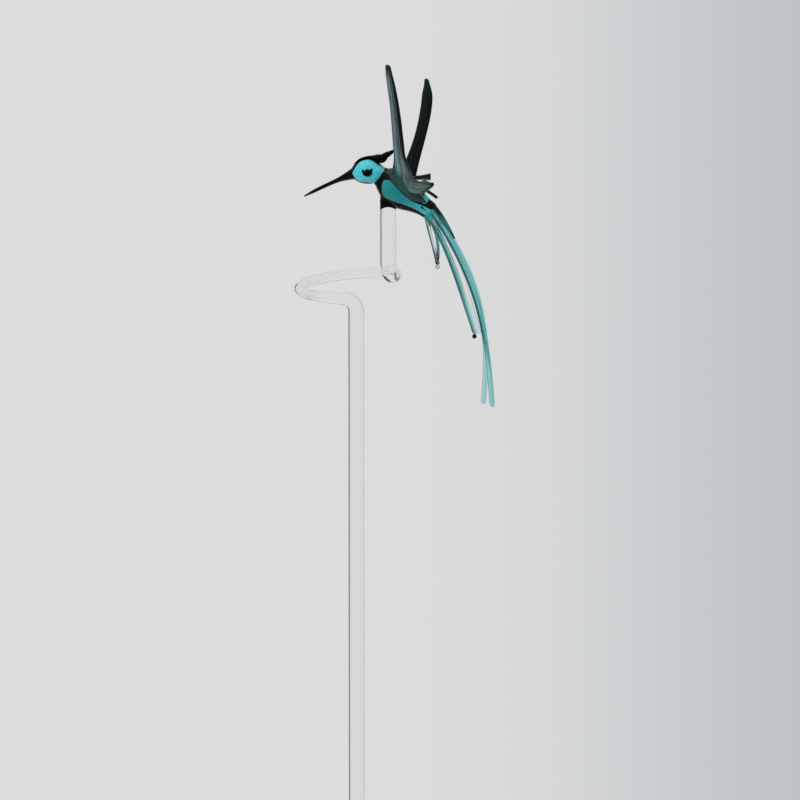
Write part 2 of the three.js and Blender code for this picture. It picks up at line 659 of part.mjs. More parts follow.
const streamerLeft = tailRod({
  root: { back: STREAMER_ROOT_BACK, side: -STREAMER_ROOT_SIDE },
  tip: { reach: LEFT_STREAMER_REACH, drop: LEFT_STREAMER_DROP, across: LEFT_STREAMER_ACROSS },
  leaves: LEFT_STREAMER_LEAVES,
  hangs: LEFT_STREAMER_HANGS,
  diameters: even(STREAMER_DIAMETER),
});
const streamerRight = tailRod({
  root: { back: STREAMER_ROOT_BACK, side: STREAMER_ROOT_SIDE },
  tip: { reach: RIGHT_STREAMER_REACH, drop: RIGHT_STREAMER_DROP, across: RIGHT_STREAMER_ACROSS },
  leaves: RIGHT_STREAMER_LEAVES,
  hangs: RIGHT_STREAMER_HANGS,
  diameters: even(STREAMER_DIAMETER),
});
const midFeatherLeft = tailRod({
  root: { back: MID_ROOT_BACK, side: -MID_ROOT_SIDE },
  tip: { reach: LEFT_MID_REACH, drop: LEFT_MID_DROP, across: LEFT_MID_ACROSS },
  leaves: LEFT_MID_LEAVES,
  hangs: LEFT_MID_HANGS,
  diameters: even(MID_FEATHER_DIAMETER),
});
const midFeatherRight = tailRod({
  root: { back: MID_ROOT_BACK, side: MID_ROOT_SIDE },
  tip: { reach: RIGHT_MID_REACH, drop: RIGHT_MID_DROP, across: RIGHT_MID_ACROSS },
  leaves: RIGHT_MID_LEAVES,
  hangs: RIGHT_MID_HANGS,
  diameters: even(MID_FEATHER_DIAMETER),
});
const shortFeather = (place, leaves, hangs) =>
  tailRod({
    root: { back: SHORT_ROOT_BACK, side: place * SHORT_ROOT_SIDE },
    tip: { reach: SHORT_REACH, drop: SHORT_DROP, across: place * SHORT_TIP_SPACING },
    leaves,
    hangs,
    diameters: tapered(SHORT_FEATHER_DIAMETER),
  });
const shortFeatherLeft = shortFeather(-1, LEFT_SHORT_LEAVES, LEFT_SHORT_HANGS);
const shortFeatherMiddle = shortFeather(0, MIDDLE_SHORT_LEAVES, MIDDLE_SHORT_HANGS);
const shortFeatherRight = shortFeather(1, RIGHT_SHORT_LEAVES, RIGHT_SHORT_HANGS);
const tailShapes = [
  streamerLeft.shape,
  streamerRight.shape,
  midFeatherLeft.shape,
  midFeatherRight.shape,
  shortFeatherLeft.shape,
  shortFeatherMiddle.shape,
  shortFeatherRight.shape,
];

// Each tail rod gives way to the body and to the rods laid before it
const tailSolid = (index) => fused(tailShapes[index], bodyCore, ...tailShapes.slice(0, index));

// A bead hung on the tip of a tail rod
function tipBead(diameter, { end, tipRadius }) {
  const drop = tipRadius + FUSE_GAP + diameter / 2;
  const ball = new THREE.SphereGeometry(diameter / 2, BEAD_SIDES, BEAD_RINGS);
  return solid(ball.translate(end.x, end.y, end.z - drop));
}

const covertStation = BODY_LENGTH - COVERT_OVERLAP;
const covertStart = onBody(bodyRadius(covertStation) - COVERT_EMBED, covertStation, 0);
const covertTip = rump.clone().add(vec(COVERT_REACH, 0, -COVERT_DROP));
const covertMiddle = covertStart.clone().lerp(covertTip, 0.5).add(vec(...COVERT_BOW));
const tailCovert = stroke({
  path: new THREE.QuadraticBezierCurve3(covertStart, covertMiddle, covertTip),
  sizes: [0.34, 0.48, 0.42, 0.3, 0.15].map((share) => [share * COVERT_WIDTH, share * COVERT_THICKNESS]),
  chords: sideways,
});

// Panels laid on the body

function flankPanel(side) {
  const stations = [
    FLANK_START,
    lerp(FLANK_START, BREAST_STATION, 0.45),
    BREAST_STATION,
    lerp(BREAST_STATION, BODY_LENGTH, 0.5),
    lerp(BREAST_STATION, BODY_LENGTH, 0.86),
    BODY_LENGTH + RUMP_DIAMETER / 5,
  ];
  const tops = [FLANK_TOP * 0.2, FLANK_TOP, FLANK_TOP * 0.8, 0, FLANK_RUMP_TOP, 0];
  const feet = [
    -FLANK_BREAST_DEPTH * 0.2,
    -FLANK_BREAST_DEPTH * 0.92,
    -FLANK_BREAST_DEPTH,
    -FLANK_TAIL_DEPTH * 1.36,
    -FLANK_TAIL_DEPTH,
    -FLANK_TAIL_DEPTH,
  ];
  const edge = (backs) => backs.map((back, i) => new THREE.Vector2(back, stations[i]));
  const count = 3 * stations.length;
  const upper = new THREE.SplineCurve(edge(tops)).getPoints(count);
  const lower = new THREE.SplineCurve(edge(feet)).getPoints(count);
  const outline = new THREE.Shape([...upper, ...lower.reverse()]);
  const block = new THREE.ExtrudeGeometry(outline, { depth: BODY_WIDTH, bevelEnabled: false });
  block.translate(0, 0, side < 0 ? -BODY_WIDTH - FUSE_GAP : FUSE_GAP).applyMatrix4(bodyFrame);
  const sheet = bodyCore(FUSE_GAP + PATCH_THICKNESS).intersect(solid(block));
  return fused(() => sheet, bodyCore, neckCollar, postInBird, ...wingShapes, ...tailShapes);
}

// The patch is cut out of the dressed body from above its back
function rumpPatch() {
  const plug = new THREE.CylinderGeometry(1, 1, BODY_DEPTH, BODY_SIDES).rotateZ(Math.PI / 2);
  plug.scale(1, RUMP_PATCH_LENGTH / 2, RUMP_PATCH_WIDTH / 2);
  plug.translate(BODY_DEPTH / 2, BODY_LENGTH - RUMP_PATCH_FORWARD, -RUMP_PATCH_OFFSET);
  const sheet = bodyCore(FUSE_GAP + PATCH_THICKNESS).intersect(solid(plug.applyMatrix4(bodyFrame)));
  return fused(() => sheet, bodyCore, tailCovert, ...wingShapes);
}

// Glasses

const glass = (color, roughness, opacity) =>
  new THREE.MeshStandardMaterial({ color, roughness, metalness: 0, opacity, transparent: opacity < 1 });
const clearGlass = () => glass(0xdfe6e6, 0.03, 0.35);
const blackGlass = () => glass(0x0c1214, 0.08, 1);
const turquoiseGlass = () => glass(0x3fb6c2, 0.15, 1);
const tealGlass = () => glass(0x1c8286, 0.08, 0.9);
const smokeGlass = () => glass(0x4a5c58, 0.06, 0.7);
const aquaGlass = () => glass(0x7fc4c8, 0.04, 0.5);

function piece(name, geometry, material) {
  const mesh = new THREE.Mesh(geometry, material);
  mesh.name = name;
  return mesh;
}

const stake = new THREE.Group();
const bellyInWorld = (grow) => solid(meshGeometry(bodyCore(grow)).applyMatrix4(birdGroup.matrix));
stake.add(piece("stake_rod", stakeRod(), clearGlass()));
stake.add(piece("stem_loop", meshGeometry(stemLoop()), clearGlass()));
stake.add(piece("perch_post", meshGeometry(fused((grow) => solid(post(grow)), bellyInWorld)), clearGlass()));
stake.add(birdGroup);

const birdPieces = [
  ["body_core", bodyCore(), blackGlass()],
  ["neck_collar", neckCollar(), blackGlass()],
  ["head_core", headCore(), blackGlass()],
  ["beak", fused(beak, wholeHead), blackGlass()],
  ["crown_crest", fused(crownCrest, wholeHead, beak), blackGlass()],
  ["cheek_patch_left", cheekPatch(-1), turquoiseGlass()],
  ["cheek_patch_right", cheekPatch(1), turquoiseGlass()],
  ["eye_left", eye(-1), blackGlass()],
  ["eye_right", eye(1), blackGlass()],
  ["wing_left_primary", fused(wingLeftPrimary, bodyCore, neckCollar, dressedHead), smokeGlass()],
  ["wing_left_secondary", fused(wingLeftSecondary, bodyCore, wingLeftPrimary), smokeGlass()],
  ["wing_right_primary", fused(wingRightPrimary, bodyCore, neckCollar, dressedHead), smokeGlass()],
  ["wing_right_secondary", fused(wingRightSecondary, bodyCore, wingRightPrimary), smokeGlass()],
  ["wing_right_tertial", fused(wingRightTertial, bodyCore, ...rightWingShapes.slice(0, 2)), smokeGlass()],
  ["flank_panel_left", flankPanel(-1), tealGlass()],
  ["flank_panel_right", flankPanel(1), tealGlass()],
  ["rump_patch", rumpPatch(), tealGlass()],
  ["streamer_left", tailSolid(0), aquaGlass()],
  ["streamer_right", tailSolid(1), aquaGlass()],
  ["mid_feather_left", tailSolid(2), aquaGlass()],
  ["mid_feather_right", tailSolid(3), aquaGlass()],
  ["short_feather_left", tailSolid(4), aquaGlass()],
  ["short_feather_middle", tailSolid(5), aquaGlass()],
  ["short_feather_right", tailSolid(6), aquaGlass()],
  ["mid_tip_bead", tipBead(MID_BEAD_DIAMETER, midFeatherLeft), blackGlass()],
  ["short_tip_bead", tipBead(SHORT_BEAD_DIAMETER, shortFeatherMiddle), clearGlass()],
  ["tail_covert", fused(tailCovert, bodyCore, wingRightTertial, ...tailShapes), blackGlass()],
];
for (const [name, made, material] of birdPieces) {
  birdGroup.add(piece(name, meshGeometry(made), material));
}

export default stake;
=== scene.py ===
# Glass orchid stake: a clear rod bent into a stem loop, with a flameworked hummingbird on its post.
# Shapes are worked out in millimetres and written to the meshes in metres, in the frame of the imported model.
import math

import bpy
import numpy as np
from mathutils import Euler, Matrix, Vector
from mathutils.bvhtree import BVHTree


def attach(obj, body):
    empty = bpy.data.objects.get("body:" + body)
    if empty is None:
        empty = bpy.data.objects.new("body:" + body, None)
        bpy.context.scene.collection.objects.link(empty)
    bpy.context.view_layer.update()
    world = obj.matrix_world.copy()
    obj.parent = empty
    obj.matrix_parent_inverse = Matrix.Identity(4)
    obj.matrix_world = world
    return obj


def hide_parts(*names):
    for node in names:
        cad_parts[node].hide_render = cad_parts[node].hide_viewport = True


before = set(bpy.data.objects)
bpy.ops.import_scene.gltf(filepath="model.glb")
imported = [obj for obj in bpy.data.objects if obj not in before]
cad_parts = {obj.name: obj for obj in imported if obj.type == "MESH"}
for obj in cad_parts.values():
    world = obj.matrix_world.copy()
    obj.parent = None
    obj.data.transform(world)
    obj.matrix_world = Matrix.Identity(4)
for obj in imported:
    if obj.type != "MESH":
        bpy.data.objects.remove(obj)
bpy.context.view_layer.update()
MM = 0.001

# Clear rod
STAKE_HEIGHT = 410
ROD_DIAMETER = 6
FOOT_ROUND = 0.8
LOOP_DIAMETER = 36.8
LOOP_ROD_DIAMETER = 4
LOOP_START_ANGLE = -96
LOOP_SWEEP = 287
LOOP_RISE = 7
BEND_RADIUS = 5
POST_LENGTH = 22.7
POST_EMBED = 3.4
INSET = 0.05  # what touches the solids' box stays inside it by this

# Bird on its post
BIRD_YAW = 15
BIRD_ROLL = 6
BODY_LENGTH = 22
BODY_DEPTH = 14
BODY_WIDTH = 12
BODY_PITCH = 32.4
BREAST_STATION = 8
NECK_DIAMETER = 7.6
NECK_PLANE = 0.2  # where the body begins and the head ends, from the neck
RUMP_DIAMETER = 6.9
COLLAR_DIAMETER = 8
COLLAR_LENGTH = 1.5
COLLAR_LAP = (0.4, 0.5)  # over the head and over the body
SLEEVE_DROP = 2.1
SLEEVE_TOP = 1.6
SLEEVE_EDGE = 0.03
SLEEVE_FLARE = 0.1
SLEEVE_WALL = 0.08

# Head
HEAD_LENGTH = 14.8
HEAD_DEPTH = 9.8
HEAD_WIDTH = 9.4
HEAD_PITCH = 8
HEAD_FORWARD = 4.3
HEAD_UP = 2.1
NAPE_ANGLE = 44
NAPE_DEPTH = 3.75
NAPE_EDGE = 12  # the higher, the sharper the flat's edge
NAPE_FILL = 0.7
BEAK_LENGTH = 20
BEAK_PITCH = 27
BEAK_BOW = 0.8
BEAK_ROOT_DIAMETER = 5.2
BEAK_SHAFT_DIAMETER = 1.5
BEAK_TIP_DIAMETER = 0.6
CROWN_WIDTH = 4.2
CROWN_THICKNESS = 1.7
CROWN_START_ANGLE = 40
CREST_ANGLE = 131
CREST_LENGTH = 7.5
CREST_PITCH = 35.5
CREST_RISE = 0.4
CREST_TIP_DIAMETER = 0.6
EYE_DIAMETER = 4
EYE_BACK = 0.3
EYE_DROP = 0.75
EYE_SINK = 1
EYE_DOME = 0.7

# Coloured glass laid on the head and body
PATCH_LIFT = 0.9
PATCH_SINK = 0.4
PATCH_BELLY = 0.2
CHEEK_LENGTH = 13.6
CHEEK_BACK = 0.3
CHEEK_TRIM = 0.5
FLANK_START = 2.6
FLANK_TOP = 1.8
FLANK_RUMP_TOP = 0.6
FLANK_BREAST_DEPTH = 5
FLANK_TAIL_DEPTH = 2.25
RUMP_PATCH_FORWARD = 2.7
RUMP_PATCH_LENGTH = 2.9
RUMP_PATCH_WIDTH = 1.7
RUMP_PATCH_OFFSET = 2.2
SEAM_WIDTH = 0.42

# Wings
SHOULDER_STATION = 10.6
SHOULDER_ANGLE = 76
WING_EMBED = 0.9
WING_THICKNESS = 2.2
LEFT_WING_RISE = 45.3
LEFT_WING_SPREAD = 5.1
LOBE_THICKNESS = 1.6
TERTIAL_THICKNESS = 1
RIDGE_HEIGHT = 0.2  # share of the thickness
BLUNT_REACH = 0.15
BLUNT_SHARE = 0.8
STROKE_WIDTH = 0.36
STROKE_THICKNESS = 0.4
STROKE_SINK = 0.12
MANTLE_STROKE_WIDTH = 0.6
MANTLE_STROKE_THICKNESS = 0.25
RAY_START = 30  # out to the left of the bird, where the rays that lay the strokes begin

# Tail
TAIL_EMBED = 2.4
STREAMER_DIAMETER = 1.95
MID_FEATHER_DIAMETER = 1.8
SHORT_FEATHER_DIAMETER = 1.2
MID_BEAD_DIAMETER = 1.7
SHORT_BEAD_DIAMETER = 1.6
BEAD_DROP = 0.05  # below the rod's rounded tip
COVERT_OVERLAP = 2.5
COVERT_EMBED = 1
COVERT_REACH = 10.2
COVERT_DROP = 10.1
COVERT_WIDTH = 4.4
COVERT_THICKNESS = 2.3

# Fineness of the meshes
PATH_POINTS = 400
ROD_SIDES = 64
BODY_SIDES = 72
BEAD_SIDES = 32
RIBBON_SIDES = 20
TIP_RINGS = 7
STAKE_RINGS = 120
BEND_RINGS = 24
LOOP_RINGS = 200
POST_RINGS = 40
BODY_RINGS = 60
BEAD_RINGS = 22

# View
VIEW_CENTRE = (16.39, 0, 371.6)
VIEW_WIDTH = 300
VIEW_ELEVATION = 8
VIEW_DISTANCE = 2500
SENSOR = 36
FLOOR_FADE = (0.3, 0.98)  # metres from the stake

# Glass
GLASS_IOR = 1.47
RELIEF = 0.0004  # metres, of uneven glass
DEEP_RELIEF = 0.0005
BLACK = (0, 0, 0)
WHITE = (1, 1, 1)
# Bright aqua paints highlights in the tail rods
BRIGHT_AQUA = (0.6, 1, 1)
AQUA = (0.33, 0.84, 0.84)
PALE_AQUA = (0.36, 0.79, 0.82)
MILKY_AQUA = (0.8, 0.95, 0.96)
MID_TEAL = (0.25, 0.72, 0.72)
TEAL = (0.08, 0.34, 0.34)
TEAL_BODY = (0.12, 0.36, 0.37)
SOFT_TEAL = (0.17, 0.47, 0.54)
DARK_TEAL = (0.03, 0.2, 0.21)
# The edge colours paint shade at the rims of the tail rods
EDGE = (0.13, 0.24, 0.26)
SOFT_EDGE = (0.5, 0.62, 0.66)
GREY_EDGE = (0.12, 0.16, 0.2)
BLACK_EDGE = (0.03, 0.05, 0.06)
TAIL_ROOT = (0.03, 0.25, 0.25, 1)


# Numbers and curves


def vec(*values):
    return np.array(values, float)


def cosd(angle):
    return math.cos(math.radians(angle))


def sind(angle):
    return math.sin(math.radians(angle))


def lerp(a, b, share):
    return a + (b - a) * share


def unit(vectors):
    return vectors / np.linalg.norm(vectors, axis=-1, keepdims=True)


def safe_root(values):
    """Square root, and 0 for what is below 0."""
    return np.sqrt(np.maximum(values, 0))


def round_angles(sides):
    return 2 * math.pi * np.arange(sides) / sides


def walked(points):
    """The way from the first point to each point."""
    gaps = np.linalg.norm(np.diff(points, axis=0), axis=1)
    return np.concatenate([[0.0], np.cumsum(gaps)])


def spline(values, u):
    """Smooth curve through evenly spaced numbers or points, at shares u of its run."""
    values = np.asarray(values, float)
    last = len(values) - 1
    place = np.clip(u, 0, 1) * last
    i = np.minimum(place.astype(int), last - 1)
    w = (place - i).reshape(place.shape + (1,) * (values.ndim - 1))
    p0, p1, p2, p3 = (values[np.clip(i + k, 0, last)] for k in (-1, 0, 1, 2))
    v0 = (p2 - p0) / 2
    v1 = (p3 - p1) / 2
    return (2 * p1 - 2 * p2 + v0 + v1) * w**3 + (3 * p2 - 3 * p1 - 2 * v0 - v1) * w**2 + v0 * w + p1


class Path:
    """A line through close points, walked by its length."""

    def __init__(self, points):
        self.points = np.asarray(points, float)
        run = walked(self.points)
        self.share = run / run[-1]

    def at(self, u):
        return np.stack([np.interp(u, self.share, axis) for axis in self.points.T], axis=-1)

    def tangent(self, u):
        step = 2e-3
        return unit(self.at(np.minimum(u + step, 1)) - self.at(np.maximum(u - step, 0)))


def bezier(*controls):
    t = np.linspace(0, 1, PATH_POINTS)[:, None]
    level = [np.asarray(control, float)[None] for control in controls]
    while len(level) > 1:
        level = [(1 - t) * a + t * b for a, b in zip(level, level[1:])]
    return Path(level[0])


def smooth_line(points):
    return spline(points, np.linspace(0, 1, PATH_POINTS))


# Meshes


def linked(name, data):
    made = bpy.data.objects.new(name, data)
    bpy.context.scene.collection.objects.link(made)
    return made


def mesh_object(name, points, faces, uvs):
    """A smooth mesh object; uvs has one pair for each corner of each face."""
    mesh = bpy.data.meshes.new(name)
    mesh.from_pydata((np.asarray(points) * MM).tolist(), [], faces)
    layer = mesh.uv_layers.new(name="along_round")
    layer.data.foreach_set("uv", np.asarray(uvs, np.float32).ravel())
    mesh.polygons.foreach_set("use_smooth", [True] * len(faces))
    mesh.update()
    return linked(name, mesh)


def ring_faces(count, sides, place, closed=False):
    """Faces between neighbouring rings, and their corners' places. Closed, the last ring meets the first."""
    faces = []
    uvs = []
    for i in range(count if closed else count - 1):
        for j in range(sides):
            spots = [(i, j), (i, j + 1), (i + 1, j + 1), (i + 1, j)]
            faces.append(tuple(a % count * sides + b % sides for a, b in spots))
            uvs += [place(a, b) for a, b in spots]
    return faces, uvs


def ring_skin(name, rings, along):
    """Closed skin over rings, with a pole at each end's centre. Along is each ring's share of the run."""
    count, sides, _ = rings.shape
    points = np.concatenate([rings.reshape(-1, 3), [rings[0].mean(0)], [rings[-1].mean(0)]])
    faces, uvs = ring_faces(count, sides, lambda i, j: (along[i], j / sides))
    pole = count * sides
    end = pole - sides
    for j in range(sides):
        k = (j + 1) % sides
        low = j / sides
        high = (j + 1) / sides
        faces.append((pole, k, j))
        uvs += [(along[0], low), (along[0], high), (along[0], low)]
        faces.append((pole + 1, end + j, end + k))
        uvs += [(along[-1], low), (along[-1], low), (along[-1], high)]
    return mesh_object(name, points, faces, uvs)


def stroke(name, path, sizes, chords, steps=96, sides=40, blunt=False, held=math.inf, section=None):
    """A stroke of glass along a path of the bird. Sizes are half widths and half thicknesses at even steps,
    and the width lies along a chord that turns from the first to the last, or has its own chord at each step.
    Where it is wider than its held half width, it widens against the chord only. Section shapes the ring."""
    u = np.linspace(0, 1, steps + 1)
    size = spline(sizes, u)
    tangent = path.tangent(u)
    chord = unit(lerp(chords[0], chords[1], u[:, None])) if len(chords) == 2 else chords
    centre = path.at(u) - chord * np.maximum(size[:, :1] - held, 0)
    turn = np.arange(1, TIP_RINGS + 1) / (TIP_RINGS + 0.5) * (math.pi / 2)
    shrink = lerp(BLUNT_SHARE, 1, np.cos(turn)) if blunt else np.cos(turn)
    reach = BLUNT_REACH if blunt else size[-1, 0]
    tip = centre[-1] + tangent[-1] * (reach * np.sin(turn))[:, None]

    def to_tip(rows):
        return np.concatenate([rows, np.repeat(rows[-1:], TIP_RINGS, 0)])

    size = to_tip(size) * np.concatenate([np.ones(steps + 1), shrink])[:, None]
    centre = np.concatenate([centre, tip])
    chord = to_tip(chord)
    along = to_tip(u)
    normal = unit(np.cross(to_tip(tangent), chord))
    angle = round_angles(sides)
    across = np.tile(np.cos(angle), (len(centre), 1))
    out = np.tile(np.sin(angle), (len(centre), 1))
    if section:
        across, out = section(across, out, along[:, None])
    sideways = chord[:, None] * (across * size[:, :1])[..., None]
    outward = normal[:, None] * (out * size[:, 1:])[..., None]
    return ring_skin(name, to_world(centre[:, None] + sideways + outward), along)


def ribbon(name, line, normals, sizes, steps):
    """A flat stroke through points of the bird, lying on a surface with the given outward directions."""
    u = np.linspace(0, 1, steps + 1)
    path = Path(smooth_line(line))
    chord = unit(np.cross(path.tangent(u), spline(normals, u)))
    return stroke(name, path, sizes, chord, steps, RIBBON_SIDES)


def select(*pieces):
    for other in bpy.context.selected_objects:
        other.select_set(False)
    for piece in pieces:
        piece.select_set(True)
    bpy.context.view_layer.objects.active = pieces[0]


def joined(name, pieces):
    """One object out of several, with all their materials."""
    select(*pieces)
    bpy.ops.object.join()
    pieces[0].name = name
    pieces[0].data.name = name
    return pieces[0]


def weld(made):
    """Welds the points that lie on each other, drops what has no area and turns all faces outward."""
    select(made)
    bpy.ops.object.mode_set(mode="EDIT")
    bpy.ops.mesh.select_all(action="SELECT")
    bpy.ops.mesh.remove_doubles(threshold=2e-6)
    bpy.ops.mesh.dissolve_degenerate(threshold=1e-7)
    bpy.ops.mesh.normals_make_consistent(inside=False)
    bpy.ops.object.mode_set(mode="OBJECT")


def patch(name, surface, columns=72, rows=36):
    """A thin closed pad on a surface: surface(u, w, lift) gives points, and the lift fades to its rim."""
    u = (1 - np.cos(np.linspace(0, math.pi, columns))) / 2
    w = (1 - np.cos(np.linspace(0, math.pi, rows))) / 2
    uu, ww = np.meshgrid(u, w, indexing="ij")
    rise = safe_root((1 - (2 * uu - 1) ** 8) * (1 - (2 * ww - 1) ** 6))
    outer = surface(uu, ww, lerp(-PATCH_SINK, PATCH_LIFT, rise))
    inner = surface(uu, ww, -PATCH_SINK - PATCH_BELLY * rise)
    faces = []
    uvs = []
    for i in range(columns - 1):
        for j in range(rows - 1):
            spots = [(i, j), (i + 1, j), (i + 1, j + 1), (i, j + 1)]
            for first, corners in ((0, spots), (columns * rows, spots[::-1])):
                faces.append(tuple(first + a * rows + b for a, b in corners))
                uvs += [(u[a], w[b]) for a, b in corners]
    made = mesh_object(name, np.concatenate([outer, inner]).reshape(-1, 3), faces, uvs)
    weld(made)
    return made


# Clear rod

loop_radius = LOOP_DIAMETER / 2
rod_radius = ROD_DIAMETER / 2
loop_start = math.radians(LOOP_START_ANGLE)
loop_end = loop_start - math.radians(LOOP_SWEEP)


def heading(angle):
    return vec(math.sin(angle), -math.cos(angle), 0)


def from_centre(angle):
    return vec(math.cos(angle), math.sin(angle), 0)


def up(height):
    return vec(0, 0, height)


loop_entry = heading(loop_start) * BEND_RADIUS + up(STAKE_HEIGHT)
loop_centre = loop_entry - from_centre(loop_start) * loop_radius
loop_exit = loop_centre + from_centre(loop_end) * loop_radius + up(LOOP_RISE)
post_foot = loop_exit + heading(loop_end) * BEND_RADIUS + up(BEND_RADIUS)
perch = post_foot + up(POST_LENGTH)


def rod_lines():
    """Centre lines of the stake, of the bent stretch that is drawn thinner, and of the post."""
    stake_top = STAKE_HEIGHT - BEND_RADIUS
    stake = np.outer(np.linspace(FOOT_ROUND, stake_top, STAKE_RINGS, endpoint=False), up(1))
    turn = np.linspace(0, math.pi / 2, BEND_RINGS, endpoint=False)
    little = BEND_RADIUS * (1 - np.cos(turn))
    much = BEND_RADIUS * np.sin(turn)
    into_loop = up(stake_top) + np.outer(little, heading(loop_start)) + np.outer(much, up(1))
    out_of_loop = loop_exit + np.outer(much, heading(loop_end)) + np.outer(little, up(1))
    loop = []
    for share in np.linspace(0, 1, LOOP_RINGS, endpoint=False):
        rise = LOOP_RISE * share * share * (3 - 2 * share)
        loop.append(loop_centre + from_centre(lerp(loop_start, loop_end, share)) * loop_radius + up(rise))
    post = post_foot + np.outer(np.linspace(0, POST_LENGTH + POST_EMBED, POST_RINGS), up(1))
    return stake, np.concatenate([into_loop, loop, out_of_loop]), post


def clear_rod():
    stake, bent, post = rod_lines()
    line = np.concatenate([stake, bent, post])
    radius = np.full(len(line), rod_radius)
    thin = LOOP_ROD_DIAMETER / 2 - INSET
    run = walked(bent)
    radius[len(stake) : -len(post)] = spline([rod_radius] + [thin] * 6 + [rod_radius], run / run[-1])
    turn = np.radians(np.arange(0, 90, 18))
    foot = np.outer(FOOT_ROUND * (1 - np.cos(turn)), up(1))
    centre = np.concatenate([foot, line])
    radius = np.concatenate([rod_radius - FOOT_ROUND * (1 - np.sin(turn)), radius])
    tangent = np.concatenate([np.tile(up(1), (len(foot), 1)), unit(np.gradient(line, axis=0))])
    angle = round_angles(ROD_SIDES)[:, None]
    chord = vec(1, 0, 0)
    rings = []
    for spot, half, ahead in zip(centre, radius, tangent):
        chord = unit(chord - ahead * np.dot(chord, ahead))
        rings.append(spot + half * (np.cos(angle) * chord + np.sin(angle) * np.cross(ahead, chord)))
    along = walked(centre)
    return ring_skin("clear_rod_glass", np.array(rings), along / along[-1])


# The bird's own frame has the perch as origin, +X towards the tail, +Y to its right and +Z up

BIRD_TURN = np.array(Euler((math.radians(-BIRD_ROLL), 0, math.radians(-BIRD_YAW)), "XYZ").to_matrix())


def to_world(points):
    return points @ BIRD_TURN.T + perch


body_axis = vec(cosd(BODY_PITCH), 0, -sind(BODY_PITCH))
body_back = vec(sind(BODY_PITCH), 0, cosd(BODY_PITCH))
to_right = vec(0, 1, 0)
neck = body_back * BODY_DEPTH / 2 - body_axis * BREAST_STATION
flattening = BODY_WIDTH / BODY_DEPTH
SIDEWAYS = (to_right, to_right)
UPRIGHT = (up(1), up(1))


def on_body(back, station, right):
    back, station, right = (np.asarray(value, float)[..., None] for value in (back, station, right))
    return neck + back * body_back + station * body_axis + right * to_right


def body_radius(station):
    station = np.asarray(station, float)
    full = BODY_DEPTH / 2
    front = lerp(NECK_DIAMETER / 2, full, np.sin(np.clip(station / BREAST_STATION, 0, 1) * math.pi / 2))
    share = np.clip((station - BREAST_STATION) / (BODY_LENGTH - BREAST_STATION), 0, 1)
    rear = lerp(RUMP_DIAMETER / 2, full, (1 + np.cos(math.pi * share)) / 2)
    return np.where(station < BREAST_STATION, front, rear)


def turned(name, stations, radii):
    """A skin turned round the body's axis, as flat as the body is."""
    angle = round_angles(BODY_SIDES)
    back = np.outer(radii, np.cos(angle))
    right = np.outer(radii, -np.sin(angle)) * flattening
    rings = to_world(on_body(back, np.tile(stations, (BODY_SIDES, 1)).T, right))
    return ring_skin(name, rings, np.linspace(0, 1, len(stations)))


def body_core():
    stations = np.linspace(NECK_PLANE, BODY_LENGTH, BODY_RINGS)
    turn = np.radians(np.linspace(0, 88, 16))[1:]
    end = RUMP_DIAMETER / 2
    radii = np.concatenate([body_radius(stations), end * np.cos(turn)])
    return turned("body_core_glass", np.concatenate([stations, BODY_LENGTH + end * np.sin(turn)]), radii)


def neck_collar():
    share = np.linspace(0, 1, 17)
    radii = lerp(NECK_DIAMETER, COLLAR_DIAMETER, np.sin(math.pi * share) ** 0.8) / 2
    return turned("neck_collar_glass", lerp(-COLLAR_LAP[0], COLLAR_LENGTH + COLLAR_LAP[1], share), radii)


def belly_sleeve():
    """The belly's glass drawn down round the top of the post, lowest in front of it and behind it."""
    rows = 14
    angle = round_angles(BODY_SIDES)
    rise = np.linspace(0, 1, rows)
    rim = SLEEVE_DROP * lerp(0.4, 1, np.cos(angle) ** 2)
    outside = rod_radius + SLEEVE_EDGE + SLEEVE_FLARE * rise**3
    radius = np.concatenate([outside, np.full(rows, rod_radius - SLEEVE_WALL)])
    share = np.concatenate([rise, rise[::-1]])[:, None]
    east = np.outer(radius, np.cos(angle))
    north = np.outer(radius, np.sin(angle))
    rings = perch + np.stack([east, north, lerp(-rim, SLEEVE_TOP, share)], axis=-1)
    count = len(rings)
    faces, uvs = ring_faces(count, BODY_SIDES, lambda i, j: (i / count, j / BODY_SIDES), closed=True)
    return mesh_object("belly_sleeve_glass", rings.reshape(-1, 3), faces, uvs)


# Head

head_centre = neck + vec(-HEAD_FORWARD, 0, HEAD_UP)


def on_head(back, right, above):
    x = back * cosd(HEAD_PITCH) - above * sind(HEAD_PITCH)
    z = back * sind(HEAD_PITCH) + above * cosd(HEAD_PITCH)
    return head_centre + np.stack([x, right + 0 * x, z], axis=-1)


def before_neck(points, limit):
    """Flattens what lies behind a plane across the neck."""
    station = (points - neck) @ body_axis
    return points - np.maximum(station - limit, 0)[..., None] * body_axis


def nape_share(back, above, lift, fill=0):
    """How full the head is towards a place on its side, and how far the nape's flat draws it in there."""
    full = np.hypot(back / (HEAD_LENGTH / 2 + lift), above / (HEAD_DEPTH / 2 + lift)) + 1e-9
    reach = np.maximum((back * cosd(NAPE_ANGLE) + above * sind(NAPE_ANGLE)) / full, 0)
    return full, (1 + (reach / (NAPE_DEPTH + fill + lift)) ** NAPE_EDGE) ** (-1 / NAPE_EDGE)


def slope(angle, length):
    return vec(length * cosd(angle), 0, length * sind(angle))


